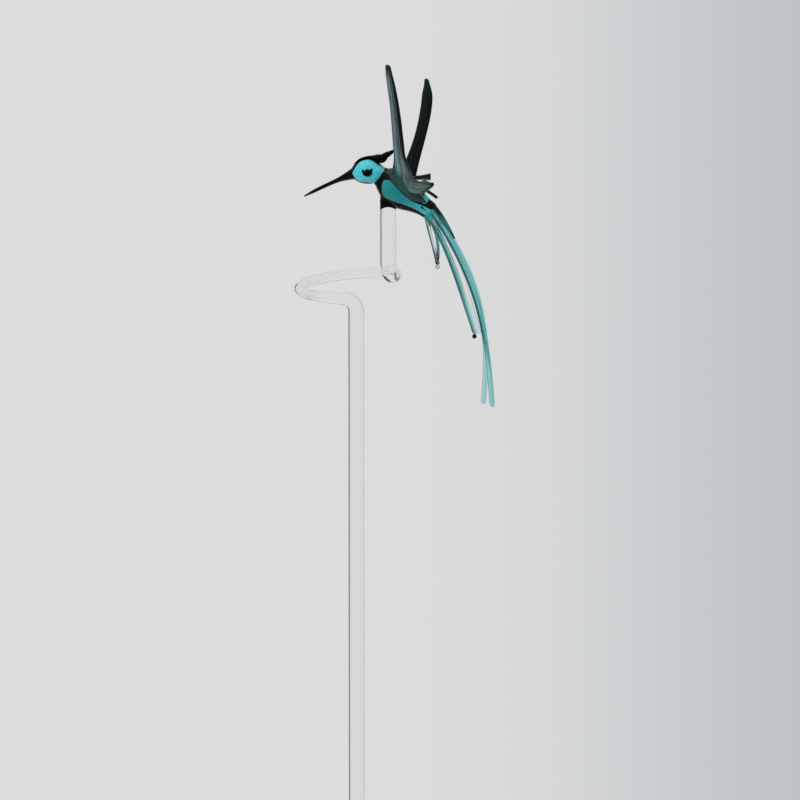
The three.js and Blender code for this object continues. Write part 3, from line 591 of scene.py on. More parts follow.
def head_core():
    turn = np.radians(np.linspace(1, 179, BODY_RINGS))
    angle = round_angles(BODY_SIDES)
    back = np.outer(-np.cos(turn), np.ones(BODY_SIDES)) * HEAD_LENGTH / 2
    right = np.outer(np.sin(turn), np.cos(angle)) * HEAD_WIDTH / 2
    above = np.outer(np.sin(turn), np.sin(angle)) * HEAD_DEPTH / 2
    _, drawn_in = nape_share(back, above, 0, NAPE_FILL)
    points = before_neck(on_head(back * drawn_in, right, above * drawn_in), NECK_PLANE)
    return ring_skin("head_core_glass", to_world(points)[:, ::-1], np.linspace(0, 1, BODY_RINGS))


def beak():
    front = on_head(-HEAD_LENGTH / 2, 0, 0)
    tip = front - slope(BEAK_PITCH, BEAK_LENGTH)
    root = front + slope(HEAD_PITCH, BEAK_ROOT_DIAMETER / 2)
    bow = lerp(root, tip, 0.5) + up(BEAK_BOW)
    diameters = [lerp(BEAK_SHAFT_DIAMETER, BEAK_ROOT_DIAMETER, share) for share in (1, 0.5, 0.12, 0)]
    diameters += [lerp(BEAK_TIP_DIAMETER, BEAK_SHAFT_DIAMETER, share) for share in (0.9, 0.7, 0)]
    return stroke("beak_glass", bezier(root, bow, tip), np.outer(diameters, (0.5, 0.5)), SIDEWAYS)


def crown(share):
    angle = lerp(CROWN_START_ANGLE, CREST_ANGLE, share)
    lift = CROWN_THICKNESS / 5 * sind(180 * share)
    return on_head(-cosd(angle) * (HEAD_LENGTH / 2 + lift), 0, sind(angle) * (HEAD_DEPTH / 2 + lift))


def crown_crest():
    tip = crown(1) + slope(CREST_PITCH, CREST_LENGTH)
    line = [crown(share) for share in (0, 0.27, 0.54, 0.78)]
    for share, rise in ((0, 0.7), (0.25, 1), (0.5, 0.5), (0.75, 0.2), (1, 0)):
        line.append(lerp(crown(1), tip, share) + up(rise * CREST_RISE))
    shares = ((0.3, 0.12), (0.45, 0.23), (0.5, 0.25), (0.5, 0.4), (0.42, 1), (0.28, 0.72), (0.16, 0.43))
    sizes = [(CROWN_WIDTH * width, CROWN_THICKNESS * thickness) for width, thickness in shares]
    sizes.append((CREST_TIP_DIAMETER / 2, CREST_TIP_DIAMETER / 2))
    return stroke("crown_crest_glass", Path(smooth_line(line)), sizes, SIDEWAYS)


# Side is -1 on the bird's left and 1 on its right


def cheek_patch(name, side):
    """A pad over the side of the head: up to the crown in front, over to the nape behind it."""
    front = CHEEK_BACK - CHEEK_LENGTH / 2
    rear = HEAD_LENGTH / 2 * 0.99
    tops = (-0.1, 0.43, 0.79, 0.86, 0.87, 0.83, 0.545, 0.34, -0.6)
    feet = (0.15, 0.81, 0.88, 0.89, 0.96, 1.08, 0.965, 0.79, 0.65)

    def surface(u, w, lift):
        back = lerp(front, rear, u)
        reach = safe_root(1 - (back / (HEAD_LENGTH / 2)) ** 2) * HEAD_DEPTH / 2
        above = lerp(-reach * spline(feet, u), reach * spline(tops, u), w)
        full, drawn_in = nape_share(back, above, lift)
        beyond = np.maximum(full / drawn_in, 1)
        right = (HEAD_WIDTH / 2 + lift) * safe_root(1 - (full / drawn_in) ** 2)
        return to_world(before_neck(on_head(back / beyond, side * right, above / beyond), CHEEK_TRIM))

    return patch(name, surface)


def eye(name, side):
    """A flattened bead whose upper edge has two notches, where the cheek's turquoise shows as two painted
    highlights.
    """
    # The notches in the upper outline stand in for highlights on the bead: painted highlights cut into its
    # shape
    upper = [(1, 0.2), (0.93, 0.69), (0.5, 0.42), (0, 0.66), (-0.5, 0.45), (-0.97, 0.7)]
    lower = [(-1, 0.2), (-0.8, -0.38), (-0.3, -0.74), (0.3, -0.72), (0.78, -0.36), (1, 0.2)]
    outline = np.array(upper + lower) * EYE_DIAMETER / 2
    rim = spline(outline, np.linspace(0, 1, 97)[:-1])[::side]
    turn = np.radians(np.linspace(0, 88, 12))
    share = np.concatenate([[1], np.cos(turn)])
    depth = np.concatenate([[-EYE_SINK], EYE_DOME * np.sin(turn)])
    back = EYE_BACK + np.outer(share, rim[:, 0])
    above = np.outer(share, rim[:, 1]) - EYE_DROP
    right = side * np.outer(HEAD_WIDTH / 2 + PATCH_LIFT + depth, np.ones(len(rim)))
    return ring_skin(name, to_world(on_head(back, right, above)), share)


# Coloured glass on the body


def side_patch(name, side, stations, tops, feet):
    """A pad on the side of the body between an upper and a lower edge, as heights above its axis."""

    def surface(u, w, lift):
        station, top, foot = (spline(values, u) for values in (stations, tops, feet))
        back = lerp(foot, top, w)
        beyond = np.maximum(station - BODY_LENGTH, 0)
        radius = safe_root((body_radius(station) + lift) ** 2 - beyond**2)
        return to_world(on_body(back, station, side * flattening * safe_root(radius**2 - back**2)))

    return patch(name, surface)


def flank_panel(name, side):
    stations = [FLANK_START, lerp(FLANK_START, BREAST_STATION, 0.45)]
    stations += [lerp(BREAST_STATION, BODY_LENGTH, share) for share in (0, 0.5, 0.86)]
    stations.append(BODY_LENGTH + RUMP_DIAMETER / 2.6)
    tops = (FLANK_TOP * 0.2, FLANK_TOP, FLANK_TOP * 0.8, 0, FLANK_RUMP_TOP, FLANK_RUMP_TOP * 2)
    feet = [-FLANK_BREAST_DEPTH * share for share in (0.2, 0.92, 1)]
    feet += [-FLANK_TAIL_DEPTH * share for share in (1.36, 1, 1)]
    return side_patch(name, side, stations, tops, feet)


def mantle(name, side):
    """Smoke glass that runs from the wing's root along the side of the back."""
    stations = (1, 4, 8, 11.5, 15, 18.2, 20.6)
    tops = (4.6, 6.2, 6.8, 6, 4.6, 3.4, 2.7)
    feet = (2.6, 2.55, 1.95, 1.2, 0.35, 0.95, 2)
    return side_patch(name, side, stations, tops, feet)


def left_side(station, back):
    """A place on the coloured glass of the left side, and the direction out of it."""
    right = -flattening * math.sqrt((body_radius(station) + PATCH_LIFT) ** 2 - back**2)
    return on_body(back, station, right), unit(back * body_back + right / flattening**2 * to_right)


def mantle_stroke(name, places):
    """A stroke along the side of the back, through places given as a station and a height above the axis."""
    line, normals = zip(*(left_side(*place) for place in places))
    shares = (0.35, 0.9, 1, 1, 0.85, 0.3)
    sizes = np.outer(shares, (MANTLE_STROKE_WIDTH, MANTLE_STROKE_THICKNESS))
    return ribbon(name, line, normals, sizes, 60)


def rump_seam():
    """A dark drop on the left flank with a seam that runs from it to the roots of the tail."""
    places = ((20, -0.05), (20.3, -0.12), (20.6, -0.16), (21.1, -0.22), (21.7, -0.3), (22.4, -0.35))
    shares = ((0.6, 0.25), (1, 0.3), (0.4, 0.25), (0.3, 0.2), (0.3, 0.2), (0.3, 0.2))
    line = [left_side(*place)[0] for place in places]
    sizes = [(SEAM_WIDTH * width, thickness) for width, thickness in shares]
    return ribbon("rump_seam_glass", line, [-to_right] * len(line), sizes, 40)


def rump_patch():
    def surface(u, w, lift):
        station = BODY_LENGTH - RUMP_PATCH_FORWARD + (u - 0.5) * RUMP_PATCH_LENGTH
        half = RUMP_PATCH_WIDTH / 2 * safe_root(1 - (2 * u - 1) ** 2)
        right = (2 * w - 1) * half - RUMP_PATCH_OFFSET
        back = safe_root((body_radius(station) + lift) ** 2 - (right / flattening) ** 2)
        return to_world(on_body(back, station, right))

    return patch("rump_patch_glass", surface)


# Wings


def shoulder(side):
    radius = body_radius(SHOULDER_STATION) - WING_EMBED
    right = side * radius * sind(SHOULDER_ANGLE) * flattening
    return on_body(radius * cosd(SHOULDER_ANGLE), SHOULDER_STATION, right)


def ridged(across, out, along):
    """Lengthwise ridges, as left by the strokes of the rod that the blade is drawn from."""
    ridge = 1 + RIDGE_HEIGHT * np.cos(9.5 * across + 0.6) * np.clip(4 * along, 0, 1)
    return across, out * ridge


def primary(name, side, tip, bow, hook, chord, root_chord, tip_chord, flare, taper, held=math.inf):
    """A blade that flares into its root below its chord and tapers to its tip above it."""
    root = shoulder(side)
    tip = root + vec(*tip)
    path = bezier(root, lerp(root, tip, 1 / 3) + vec(*bow), lerp(root, tip, 2 / 3) + vec(*hook), tip)
    widths = [lerp(chord, root_chord, share) / 2 for share in flare]
    widths += [lerp(chord, tip_chord, share) / 2 for share in taper]
    fullness = (1.9, 1.4, 1.15, 1, 1, 0.95, 0.9, 0.8, 0.6)
    sizes = [(width, share * WING_THICKNESS / 2) for width, share in zip(widths, fullness)]
    chords = (body_axis, vec(1, 0, 0))
    return stroke(name, path, sizes, chords, steps=140, sides=72, held=held, section=ridged)


def lobe(name, side, start, leaves, hangs, tip, chord, shares, thickness, chords, blunt=True):
    """A short stroke out of the wing root, with its ends measured from the shoulder."""
    begin = shoulder(side) + vec(*start)
    end = shoulder(side) + vec(*tip)
    path = bezier(begin, begin + vec(*leaves), end + vec(*hangs), end)
    sizes = [(share * chord / 2, thickness / 2) for share in shares]
    return stroke(name, path, sizes, chords, sides=56, blunt=blunt, section=ridged)


# Strokes combed into the near wing, measured back, out to the left and up from its shoulder

BLADE_LEVELS = (12, 18, 25, 32, 38, 42.5, 44.8)
BLADE_FRONT = (-2.7, -3.25, -3.8, -4.5, -5.4, -6.15, -6.2)
BLADE_REAR = (1.45, 0.7, -0.15, -1.25, -2.45, -3.6, -4.5)
BLADE_CAMBER = 0.55
BLADE_BOW = 1.2
BLADE_LIFT = 0.25


def up_the_blade(share):
    """Points up the blade at a share of its width, from its rear edge to its front edge."""
    points = []
    for level, front, rear in zip(BLADE_LEVELS, BLADE_FRONT, BLADE_REAR):
        height = level / LEFT_WING_RISE
        camber = BLADE_CAMBER * (1 - (2 * share - 1) ** 2) * (1 - height / 2)
        out = LEFT_WING_SPREAD * height + BLADE_BOW * height * (1 - height) + camber + BLADE_LIFT
        points.append((lerp(rear, front, share), out, level))
    return points


def ground(piece):
    """A piece's faces, to lay strokes on."""
    mesh = piece.data
    return BVHTree.FromPolygons([v.co for v in mesh.vertices], [tuple(p.vertices) for p in mesh.polygons])


def laid_on(grounds, points):
    """Moves the points of a line on the left out or in to the glass beneath them, and evens out the steps."""
    inward = Vector(BIRD_TURN @ to_right)
    laid = points.copy()
    for point in laid:
        start = Vector(to_world(point - RAY_START * to_right) * MM)
        reaches = [tree.ray_cast(start, inward)[3] for tree in grounds]
        reaches = [reach / MM for reach in reaches if reach is not None]
        if reaches:
            point[1] += min(reaches) - RAY_START
    near = 12
    span = 2 * near + 1
    padded = np.pad(laid[:, 1], near, mode="edge")
    laid[:, 1] = np.convolve(padded, np.full(span, 1 / span), mode="valid")
    return laid + STROKE_SINK * to_right


def wing_stroke(name, grounds, foot, share):
    """A stroke from its foot, given as points from the shoulder, up the blade to its tip."""
    points = np.array(list(foot) + up_the_blade(share)) * vec(1, -1, 1)
    path = Path(laid_on(grounds, smooth_line(shoulder(-1) + points)))
    widths = np.array((0.6, 1.45, 1.35, 1.1, 1, 0.95, 0.85, 0.7, 0.45)) * STROKE_WIDTH
    depths = np.array((0.7, 1, 1, 1, 0.95, 0.9, 0.8, 0.65, 0.45)) * STROKE_THICKNESS
    steps = 110
    chord = unit(np.cross(path.tangent(np.linspace(0, 1, steps + 1)), vec(0, -1, 0.1)))
    return stroke(name, path, np.stack([widths, depths], axis=1), chord, steps, RIBBON_SIDES)


# Tail

rump = on_body(0, BODY_LENGTH, 0)


def tail_path(root, tip, leaves, hangs):
    """From a root on the rump's end, back and right, to a tip measured from the rump."""
    start = on_body(root[0], BODY_LENGTH + RUMP_DIAMETER / 2 - TAIL_EMBED, root[1])
    end = rump + vec(*tip)
    return bezier(start, start + vec(*leaves), end + vec(*hangs), end)


TAIL_PATHS = {
    "streamer_left": tail_path((0.9, -1.35), (27, -1, -71.9), (20.4, -1, -27.6), (-2.8, 0, 26.4)),
    "streamer_right": tail_path((0.9, 1.35), (23, 1.5, -71), (17.3, 1.2, -22.7), (2, 0.6, 32.7)),
    "mid_feather_left": tail_path((-0.9, -2.25), (20.2, -4, -44.9), (9, -1, -12.8), (-6.1, 0.4, 16.1)),
    "mid_feather_right": tail_path((-0.9, 2.25), (20.5, 1, -44.8), (10.3, 0, -13), (-5.8, 0, 16.5)),
    "short_feather_left": tail_path((-2.3, -1.6), (4.2, -1.2, -20), (1.2, 0, -5.5), (-1.2, 0, 6)),
    "short_feather_middle": tail_path((-2.3, 0), (4.2, 0, -20), (4.6, 0, -5), (0.4, 0, 6)),
    "short_feather_right": tail_path((-2.3, 1.6), (4.2, 1.2, -20), (0.2, 0, -6), (-1.8, 0, 6)),
}


def tail_rod(node, diameter, shares):
    sizes = np.outer(shares, (diameter / 2, diameter / 2))
    return stroke(f"{node}_glass", TAIL_PATHS[node], sizes, SIDEWAYS, steps=120, sides=32)


def tip_bead(name, diameter, rod, tip_diameter):
    """A bead under the tip of a tail rod."""
    centre = TAIL_PATHS[rod].points[-1] - up(tip_diameter / 2 + BEAD_DROP + diameter / 2)
    turn = np.radians(np.linspace(3, 177, BEAD_RINGS))
    angle = round_angles(BEAD_SIDES)
    rings = np.zeros((BEAD_RINGS, BEAD_SIDES, 3))
    rings[..., 0] = np.outer(np.sin(turn), np.cos(angle))
    rings[..., 1] = np.outer(np.sin(turn), np.sin(angle))
    rings[..., 2] = -np.cos(turn)[:, None]
    return ring_skin(name, to_world(centre + rings * diameter / 2), np.linspace(0, 1, BEAD_RINGS))


def tail_covert():
    station = BODY_LENGTH - COVERT_OVERLAP
    start = on_body(body_radius(station) - COVERT_EMBED, station, 0)
    tip = rump + vec(COVERT_REACH, 0, -COVERT_DROP)
    middle = lerp(start, tip, 0.5) + vec(0.8, 0, 1)
    sizes = np.outer((0.34, 0.48, 0.42, 0.3, 0.15), (COVERT_WIDTH, COVERT_THICKNESS))
    return stroke("tail_covert_glass", bezier(start, middle, tip), sizes, SIDEWAYS)


# Nodes of the materials

GLASS = {}


def new_glass(name):
    made = bpy.data.materials.new(name)
    made.use_nodes = True
    GLASS[name] = made
    return made.node_tree


def makes_glass(describe):
    """Makes the glass that a function describes, under the name of the function."""
    describe(new_glass(describe.__name__))
    return describe


def fill(tree, node, sockets):
    """Sets a node's sockets by name or number; a value that is itself a socket is linked."""
    for key, value in sockets.items():
        if isinstance(value, bpy.types.NodeSocket):
            tree.links.new(value, node.inputs[key])
        else:
            node.inputs[key].default_value = value


def add(tree, kind, sockets, **settings):
    """The outputs of a new shader node."""
    made = tree.nodes.new("ShaderNode" + kind)
    for name, value in settings.items():
        setattr(made, name, value)
    fill(tree, made, sockets)
    return made.outputs


def multiply_add(tree, value, factor, added):
    return add(tree, "Math", {0: value, 1: factor, 2: added}, operation="MULTIPLY_ADD")[0]


def ramp(tree, factor, stops):
    """Colours by a factor, from the colour at each place."""
    made = tree.nodes.new("ShaderNodeValToRGB")
    while len(made.color_ramp.elements) < len(stops):
        made.color_ramp.elements.new(0.5)
    for element, (place, colour) in zip(made.color_ramp.elements, stops.items()):
        element.position = place
        element.color = (*colour, 1)
    fill(tree, made, {"Fac": factor})
    return made.outputs["Color"]


def bands(*rows):
    """A ramp's stops, from colours that each have one place or hold from one place to another."""
    return {place: colour for colour, *places in rows for place in places}


def blend(tree, factor, first, second, kind="MIX"):
    return add(tree, "Mix", {0: factor, 6: first, 7: second}, data_type="RGBA", blend_type=kind)[2]


def multiplied(tree, first, second):
    return blend(tree, 1, first, second, "MULTIPLY")


def patch_place(tree):
    """The shares along a patch and from its lower edge to its upper edge."""
    uv = add(tree, "UVMap", {}, uv_map="along_round")["UV"]
    parts = add(tree, "SeparateXYZ", {"Vector": uv})
    return parts["X"], parts["Y"]


def stroke_place(tree, turn=0):
    """The shares along a stroke and across it from one edge to the other, a turn on from its chord."""
    along, round_share = patch_place(tree)
    angle = multiply_add(tree, round_share, 2 * math.pi, -turn * 2 * math.pi)
    cosine = add(tree, "Math", {0: angle}, operation="COSINE")[0]
    return along, multiply_add(tree, cosine, 0.5, 0.5)


def noise(tree, place, stretch, scale, detail):
    drawn = add(tree, "Mapping", {"Vector": place, "Scale": stretch})["Vector"]
    return add(tree, "TexNoise", {"Vector": drawn, "Scale": scale, "Detail": detail})["Fac"]


def cloud(tree, scale, detail, stretch=(1, 1, 1)):
    return noise(tree, add(tree, "TexCoord", {})["Object"], stretch, scale, detail)


def shade(tree, sockets):
    fill(tree, tree.nodes["Principled BSDF"], sockets)


def opaque(tree, colour, roughness, specular):
    shade(tree, {"Base Color": colour, "Roughness": roughness, "Specular IOR Level": specular})


def see_through(tree, colour, roughness, clearness=1):
    shade(tree, {"Base Color": colour, "Roughness": roughness})
    shade(tree, {"IOR": GLASS_IOR, "Transmission Weight": clearness})


def bump(tree, height, strength, distance):
    sockets = {"Height": height, "Strength": strength, "Distance": distance}
    shade(tree, {"Normal": add(tree, "Bump", sockets)["Normal"]})


# Clear and clouded glass


@makes_glass
def clear_glass(tree):
    see_through(tree, (0.98, 0.985, 0.985, 1), 0)
    bump(tree, cloud(tree, 60, 2, (1, 1, 0.25)), 0.04, DEEP_RELIEF)


@makes_glass
def shade_rimmed_clear_glass(tree):
    # Painted shade: the clear glass turns dark towards its rim as it turns from view
    facing = add(tree, "LayerWeight", {"Blend": 0.5})["Facing"]
    stops = {0: WHITE, 0.1: (0.9, 0.92, 0.92), 0.25: (0.05, 0.06, 0.06)}
    see_through(tree, ramp(tree, facing, stops), 0)


def clouded(tree, clouds, stops, finish, relief=None):
    """Opaque glass with clouds of a scale and detail, and perhaps a relief of a scale and strength."""
    opaque(tree, ramp(tree, cloud(tree, *clouds), stops), *finish)
    if relief:
        scale, strength = relief
        bump(tree, cloud(tree, scale, 2), strength, RELIEF)


@makes_glass
def black_glass(tree):
    stops = {0.35: (0.0015, 0.0018, 0.0022), 0.7: (0.004, 0.0055, 0.006)}
    clouded(tree, (220, 3), stops, (0.14, 0.12), (160, 0.1))


@makes_glass
def turquoise_glass(tree):
    stops = {0.3: (0.055, 0.47, 0.54), 0.55: (0.075, 0.55, 0.62), 0.75: (0.11, 0.62, 0.68)}
    clouded(tree, (900, 4), stops, (0.2, 0.25), (260, 0.15))


@makes_glass
def rump_glass(tree):
    stops = {0.35: (0.03, 0.4, 0.34), 0.65: (0.06, 0.52, 0.45)}
    clouded(tree, (600, 3), stops, (0.16, 0.25))


@makes_glass
def teal_glass(tree):
    """Flanks: cloudy teal that brightens towards the tail, with dark rims."""
    along, height = patch_place(tree)
    stops = {
        0.1: (0.022, 0.215, 0.2),
        0.35: (0.016, 0.22, 0.23),
        0.6: (0.013, 0.205, 0.215),
        0.8: (0.03, 0.33, 0.36),
        0.97: (0.06, 0.4, 0.45),
    }
    lengthwise = ramp(tree, multiply_add(tree, cloud(tree, 420, 4), 0.22, along), stops)
    rim = ramp(tree, height, bands(((0.25, 0.3, 0.3), 0), (WHITE, 0.12, 0.88), ((0.4, 0.45, 0.45), 1)))
    opaque(tree, multiplied(tree, lengthwise, rim), 0.16, 0.25)
    bump(tree, cloud(tree, 260, 2), 0.12, RELIEF)


@makes_glass
def covert_glass(tree):
    """Black at its root and along its top, teal on its sides."""
    along, top = stroke_place(tree, 0.25)
    dark = (0.0018, 0.0025, 0.003)
    stops = {
        0.22: dark,
        0.4: (0.008, 0.05, 0.048),
        0.6: (0.022, 0.17, 0.155),
        0.8: (0.022, 0.2, 0.18),
        0.92: (0.008, 0.07, 0.064),
        1: dark,
    }
    sides = ramp(tree, along, stops)
    shaded = blend(tree, ramp(tree, top, {0.6: BLACK, 0.8: WHITE}), sides, (*dark, 1))
    lowered = ramp(tree, along, {0.36: BLACK, 0.6: WHITE})
    opaque(tree, blend(tree, lowered, shaded, sides), 0.14, 0.15)


# Streaked glass of the wings and back

# Streaks vary the glass's tone; the raised ones are also lighter as painted highlight and the low ones darker
# as painted shade
STREAK_TONE_AND_LIGHT = {0.3: (0.6, 0.62, 0.62), 0.5: (0.95, 0.98, 0.98), 0.7: (1.4, 1.42, 1.4)}


def streaked(tree, lengthwise, crosswise, place=stroke_place):
    """The shares along and across a piece, and noise drawn out along it."""
    along, across = place(tree)
    spot = add(tree, "CombineXYZ", {"X": along, "Y": across})["Vector"]
    return along, across, noise(tree, spot, (lengthwise, crosswise, 1), 1, 4)


def finish_streaked(tree, colour, streak, tone_and_light=STREAK_TONE_AND_LIGHT, finish=(0.2, 0.3), relief=RELIEF):
    """Opaque glass whose streaks tone its colour and stand up from it, the raised streaks lighter as painted
    highlight and the low ones darker as painted shade.
    """
    opaque(tree, multiplied(tree, colour, ramp(tree, streak, tone_and_light)), *finish)
    bump(tree, streak, 0.2, relief)


@makes_glass
def smoke_glass(tree):
    """Near wing: slate and teal strokes side by side, their pale greys partly painted reflection, black-green
    along the rear edge, dark at the tip.
    """
    along, across, streak = streaked(tree, 1.6, 7)
    stops = {
        0.05: (0.02, 0.032, 0.034),
        0.13: (0.1, 0.13, 0.145),
        0.3: (0.13, 0.155, 0.17),
        0.42: (0.05, 0.075, 0.08),
        0.53: (0.15, 0.18, 0.18),
        0.66: (0.075, 0.1, 0.1),
        0.75: (0.01, 0.022, 0.022),
        0.95: (0.002, 0.006, 0.006),
    }
    blade = ramp(tree, multiply_add(tree, streak, 0.16, across), stops)
    risen = ramp(tree, along, {0.12: BLACK, 0.3: WHITE})
    tip = ramp(tree, along, {0.92: WHITE, 1: (0.3, 0.3, 0.3)})
    colour = multiplied(tree, blend(tree, risen, (0.024, 0.062, 0.06, 1), blade), tip)
    tone_and_light = {0.3: (0.5, 0.52, 0.52), 0.5: (0.95, 0.98, 0.98), 0.7: (1.35, 1.4, 1.4)}
    finish_streaked(tree, colour, streak, tone_and_light, (0.18, 0.3), DEEP_RELIEF)


def stroke_glass(name, foot, base, blade):
    """One combed stroke, with its colours at its foot, at the blade's base and up the blade."""
    tree = new_glass(name)
    along, _, streak = streaked(tree, 6, 3)
    end = tuple(value * 0.25 for value in foot)
    stops = bands((end, 0, 0.02), (foot, 0.05, 0.215), (base, 0.27, 0.34), (blade, 0.48, 0.93), (end, 1))
    finish_streaked(tree, ramp(tree, along, stops), streak)


@makes_glass
def lobe_glass(tree):
    """Grey-green lobe of the near wing with a dark upper rim and end."""
    along, across, streak = streaked(tree, 3, 6)
    stops = {
        0: (0.06, 0.12, 0.09),
        0.4: (0.09, 0.15, 0.14),
        0.85: (0.08, 0.12, 0.12),
        0.94: (0.01, 0.02, 0.02),
    }
    end = ramp(tree, along, {0.92: WHITE, 0.99: (0.1, 0.1, 0.1)})
    finish_streaked(tree, multiplied(tree, ramp(tree, across, stops), end), streak)


@makes_glass
def mantle_glass(tree):
    """Dark teal-grey glass with streaks along the body, browner beside the neck."""
    along, _, streak = streaked(tree, 3, 5, patch_place)
    stops = {
        0: (0.026, 0.036, 0.03),
        0.2: (0.026, 0.05, 0.044),
        0.5: (0.024, 0.066, 0.064),
        1: (0.03, 0.068, 0.064),
    }
    tone_and_light = {0.3: (0.4, 0.45, 0.45), 0.5: (0.95, 1, 1), 0.7: (1.7, 1.75, 1.75)}
    finish_streaked(tree, ramp(tree, along, stops), streak, tone_and_light, (0.18, 0.3))


@makes_glass
def shaded_smoke_glass(tree):
    """Far wing: smoke glass in painted shade, nearly black, a little green at its tip and rear edge."""
    along, across, streak = streaked(tree, 2, 8)
    stops = {
        0: (0.006, 0.009, 0.009),
        0.5: (0.004, 0.006, 0.0065),
        0.9: (0.003, 0.006, 0.0055),
        1: (0.006, 0.011, 0.009),
    }
    tip = ramp(tree, along, {0.85: WHITE, 1: (1.6, 2.6, 2.1)})
    colour = multiplied(tree, ramp(tree, across, stops), tip)
    tone_and_light = {0.3: (0.5, 0.55, 0.55), 0.7: (1.8, 1.9, 1.9)}
    finish_streaked(tree, colour, streak, tone_and_light, (0.25, 0.08), DEEP_RELIEF)


@makes_glass
def highlit_rim_smoke_glass(tree):
    """Far wing's lobes: dark green with a painted highlight along the lower rim and a black end."""
    along, across = stroke_place(tree)
    stops = {
        0: (0.03, 0.04, 0.035),
        # The pale stops along the lower rim are a painted highlight
        0.08: (0.3, 0.36, 0.3),
        0.22: (0.22, 0.27, 0.22),
        0.3: (0.007, 0.02, 0.014),
        1: (0.005, 0.014, 0.01),
    }
    end = ramp(tree, along, {0.86: WHITE, 0.95: (0.12, 0.12, 0.12)})
    opaque(tree, multiplied(tree, ramp(tree, across, stops), end), 0.18, 0.3)


# Each combed stroke's colours at its foot, at the blade's base and up the blade
# The pale greys and slates up the blade are partly the glass's colour and partly painted reflection of bright
# light
STROKE_COLOURS = {
    "black_green": ((0.04, 0.06, 0.06), (0.012, 0.02, 0.02), (0.003, 0.009, 0.009)),
    "dark_teal": ((0.08, 0.125, 0.125), (0.08, 0.12, 0.12), (0.006, 0.016, 0.016)),
    "light_grey": ((0.085, 0.135, 0.135), (0.16, 0.21, 0.21), (0.15, 0.185, 0.2)),
    "grey_teal": ((0.09, 0.15, 0.145), (0.12, 0.175, 0.175), (0.06, 0.09, 0.095)),
    "grey_moss": ((0.09, 0.17, 0.13), (0.06, 0.11, 0.11), (0.07, 0.1, 0.105)),
    "slate_moss": ((0.03, 0.08, 0.072), (0.09, 0.17, 0.17), (0.14, 0.18, 0.19)),
    "slate_teal": ((0.026, 0.075, 0.075), (0.12, 0.25, 0.24), (0.14, 0.185, 0.2)),
    "slate": ((0.024, 0.075, 0.078), (0.14, 0.27, 0.26), (0.165, 0.2, 0.23)),
    "light_slate": ((0.024, 0.07, 0.072), (0.1, 0.25, 0.235), (0.13, 0.165, 0.185)),
    "dark_slate": ((0.024, 0.06, 0.056), (0.07, 0.16, 0.155), (0.09, 0.12, 0.13)),
    "front_slate": ((0.026, 0.048, 0.04), (0.035, 0.075, 0.075), (0.05, 0.065, 0.07)),
    "bark": ((0.03, 0.046, 0.044), (0.034, 0.055, 0.05), (0.034, 0.06, 0.055)),
    "deep_teal": ((0.024, 0.055, 0.052), (0.024, 0.06, 0.06), (0.026, 0.07, 0.07)),
    "moss": ((0.03, 0.05, 0.04), (0.028, 0.055, 0.045), (0.028, 0.06, 0.058)),
}

# See-through glass of the tail


def aqua_glass(name, root, upper, lower):
    """Glass with lines along it, from left to right, that change from its upper to its lower half: its aqua
    and teal tints with painted highlights and painted shade at its rims.
    Up to its root share it is cloudy teal."""
    tree = new_glass(name)
    along, across = stroke_place(tree, 0.25)
    lowered = ramp(tree, along, {0.65: BLACK, 0.82: WHITE})
    lines = blend(tree, lowered, ramp(tree, across, bands(*upper)), ramp(tree, across, bands(*lower)))
    clearing = ramp(tree, along, {0.5 * root: BLACK, 1.5 * root: WHITE})
    see_through(tree, blend(tree, clearing, TAIL_ROOT, lines), 0.02, clearing)


# Each tail rod's cloudy share, and the lines across its upper and its lower half: white and bright aqua lines
# are painted highlights, the edge colours painted shade
TAIL_LINES = {
    "streamer_left": (
        0.06,
        ((EDGE, 0), (DARK_TEAL, 0.05, 0.4), (AQUA, 0.46, 0.6), (BRIGHT_AQUA, 0.66, 0.78), (TEAL, 0.85)),
        ((PALE_AQUA, 0, 0.62), (SOFT_TEAL, 0.68, 0.86), (WHITE, 0.92)),
    ),
    "streamer_right": (
        0.06,
        ((EDGE, 0), (WHITE, 0.06, 0.22), (AQUA, 0.3, 0.6), (TEAL, 0.64, 0.8), (AQUA, 0.86), (WHITE, 0.95)),
        ((SOFT_EDGE, 0, 0.13), (MILKY_AQUA, 0.18, 0.28), (PALE_AQUA, 0.36)),
    ),
    "mid_feather_left": (
        0.1,
        ((EDGE, 0, 0.22), (DARK_TEAL, 0.26, 0.44), (MID_TEAL, 0.5, 0.64), (WHITE, 0.74)),
        ((EDGE, 0, 0.2), (TEAL, 0.25, 0.4), (PALE_AQUA, 0.46, 0.6), (SOFT_TEAL, 0.66), (WHITE, 0.85)),
    ),
    "mid_feather_right": (
        0.1,
        ((SOFT_EDGE, 0), (MILKY_AQUA, 0.05), (WHITE, 0.4, 0.9), (SOFT_EDGE, 0.96)),
        ((SOFT_EDGE, 0), (MILKY_AQUA, 0.05, 0.84), (SOFT_EDGE, 0.9)),
    ),
    "short_feather_left": (
        0.16,
        ((GREY_EDGE, 0, 0.36), (WHITE, 0.42, 0.92), (GREY_EDGE, 1)),
        ((BLACK_EDGE, 0, 0.38), (WHITE, 0.44, 0.62), (BLACK_EDGE, 0.7)),
    ),
    "short_feather_middle": (
        0.16,
        ((DARK_TEAL, 0, 0.3), (TEAL_BODY, 0.42, 0.8), (AQUA, 1)),
        ((BLACK_EDGE, 0, 0.36), (MID_TEAL, 0.44, 0.6), (BLACK_EDGE, 0.68)),
    ),
    "short_feather_right": (
        0.16,
        ((WHITE, 0, 0.3), (AQUA, 0.4, 0.62), (EDGE, 0.72)),
        ((WHITE, 0, 0.35), (PALE_AQUA, 0.42, 0.58), (BLACK_EDGE, 0.66)),
    ),
}

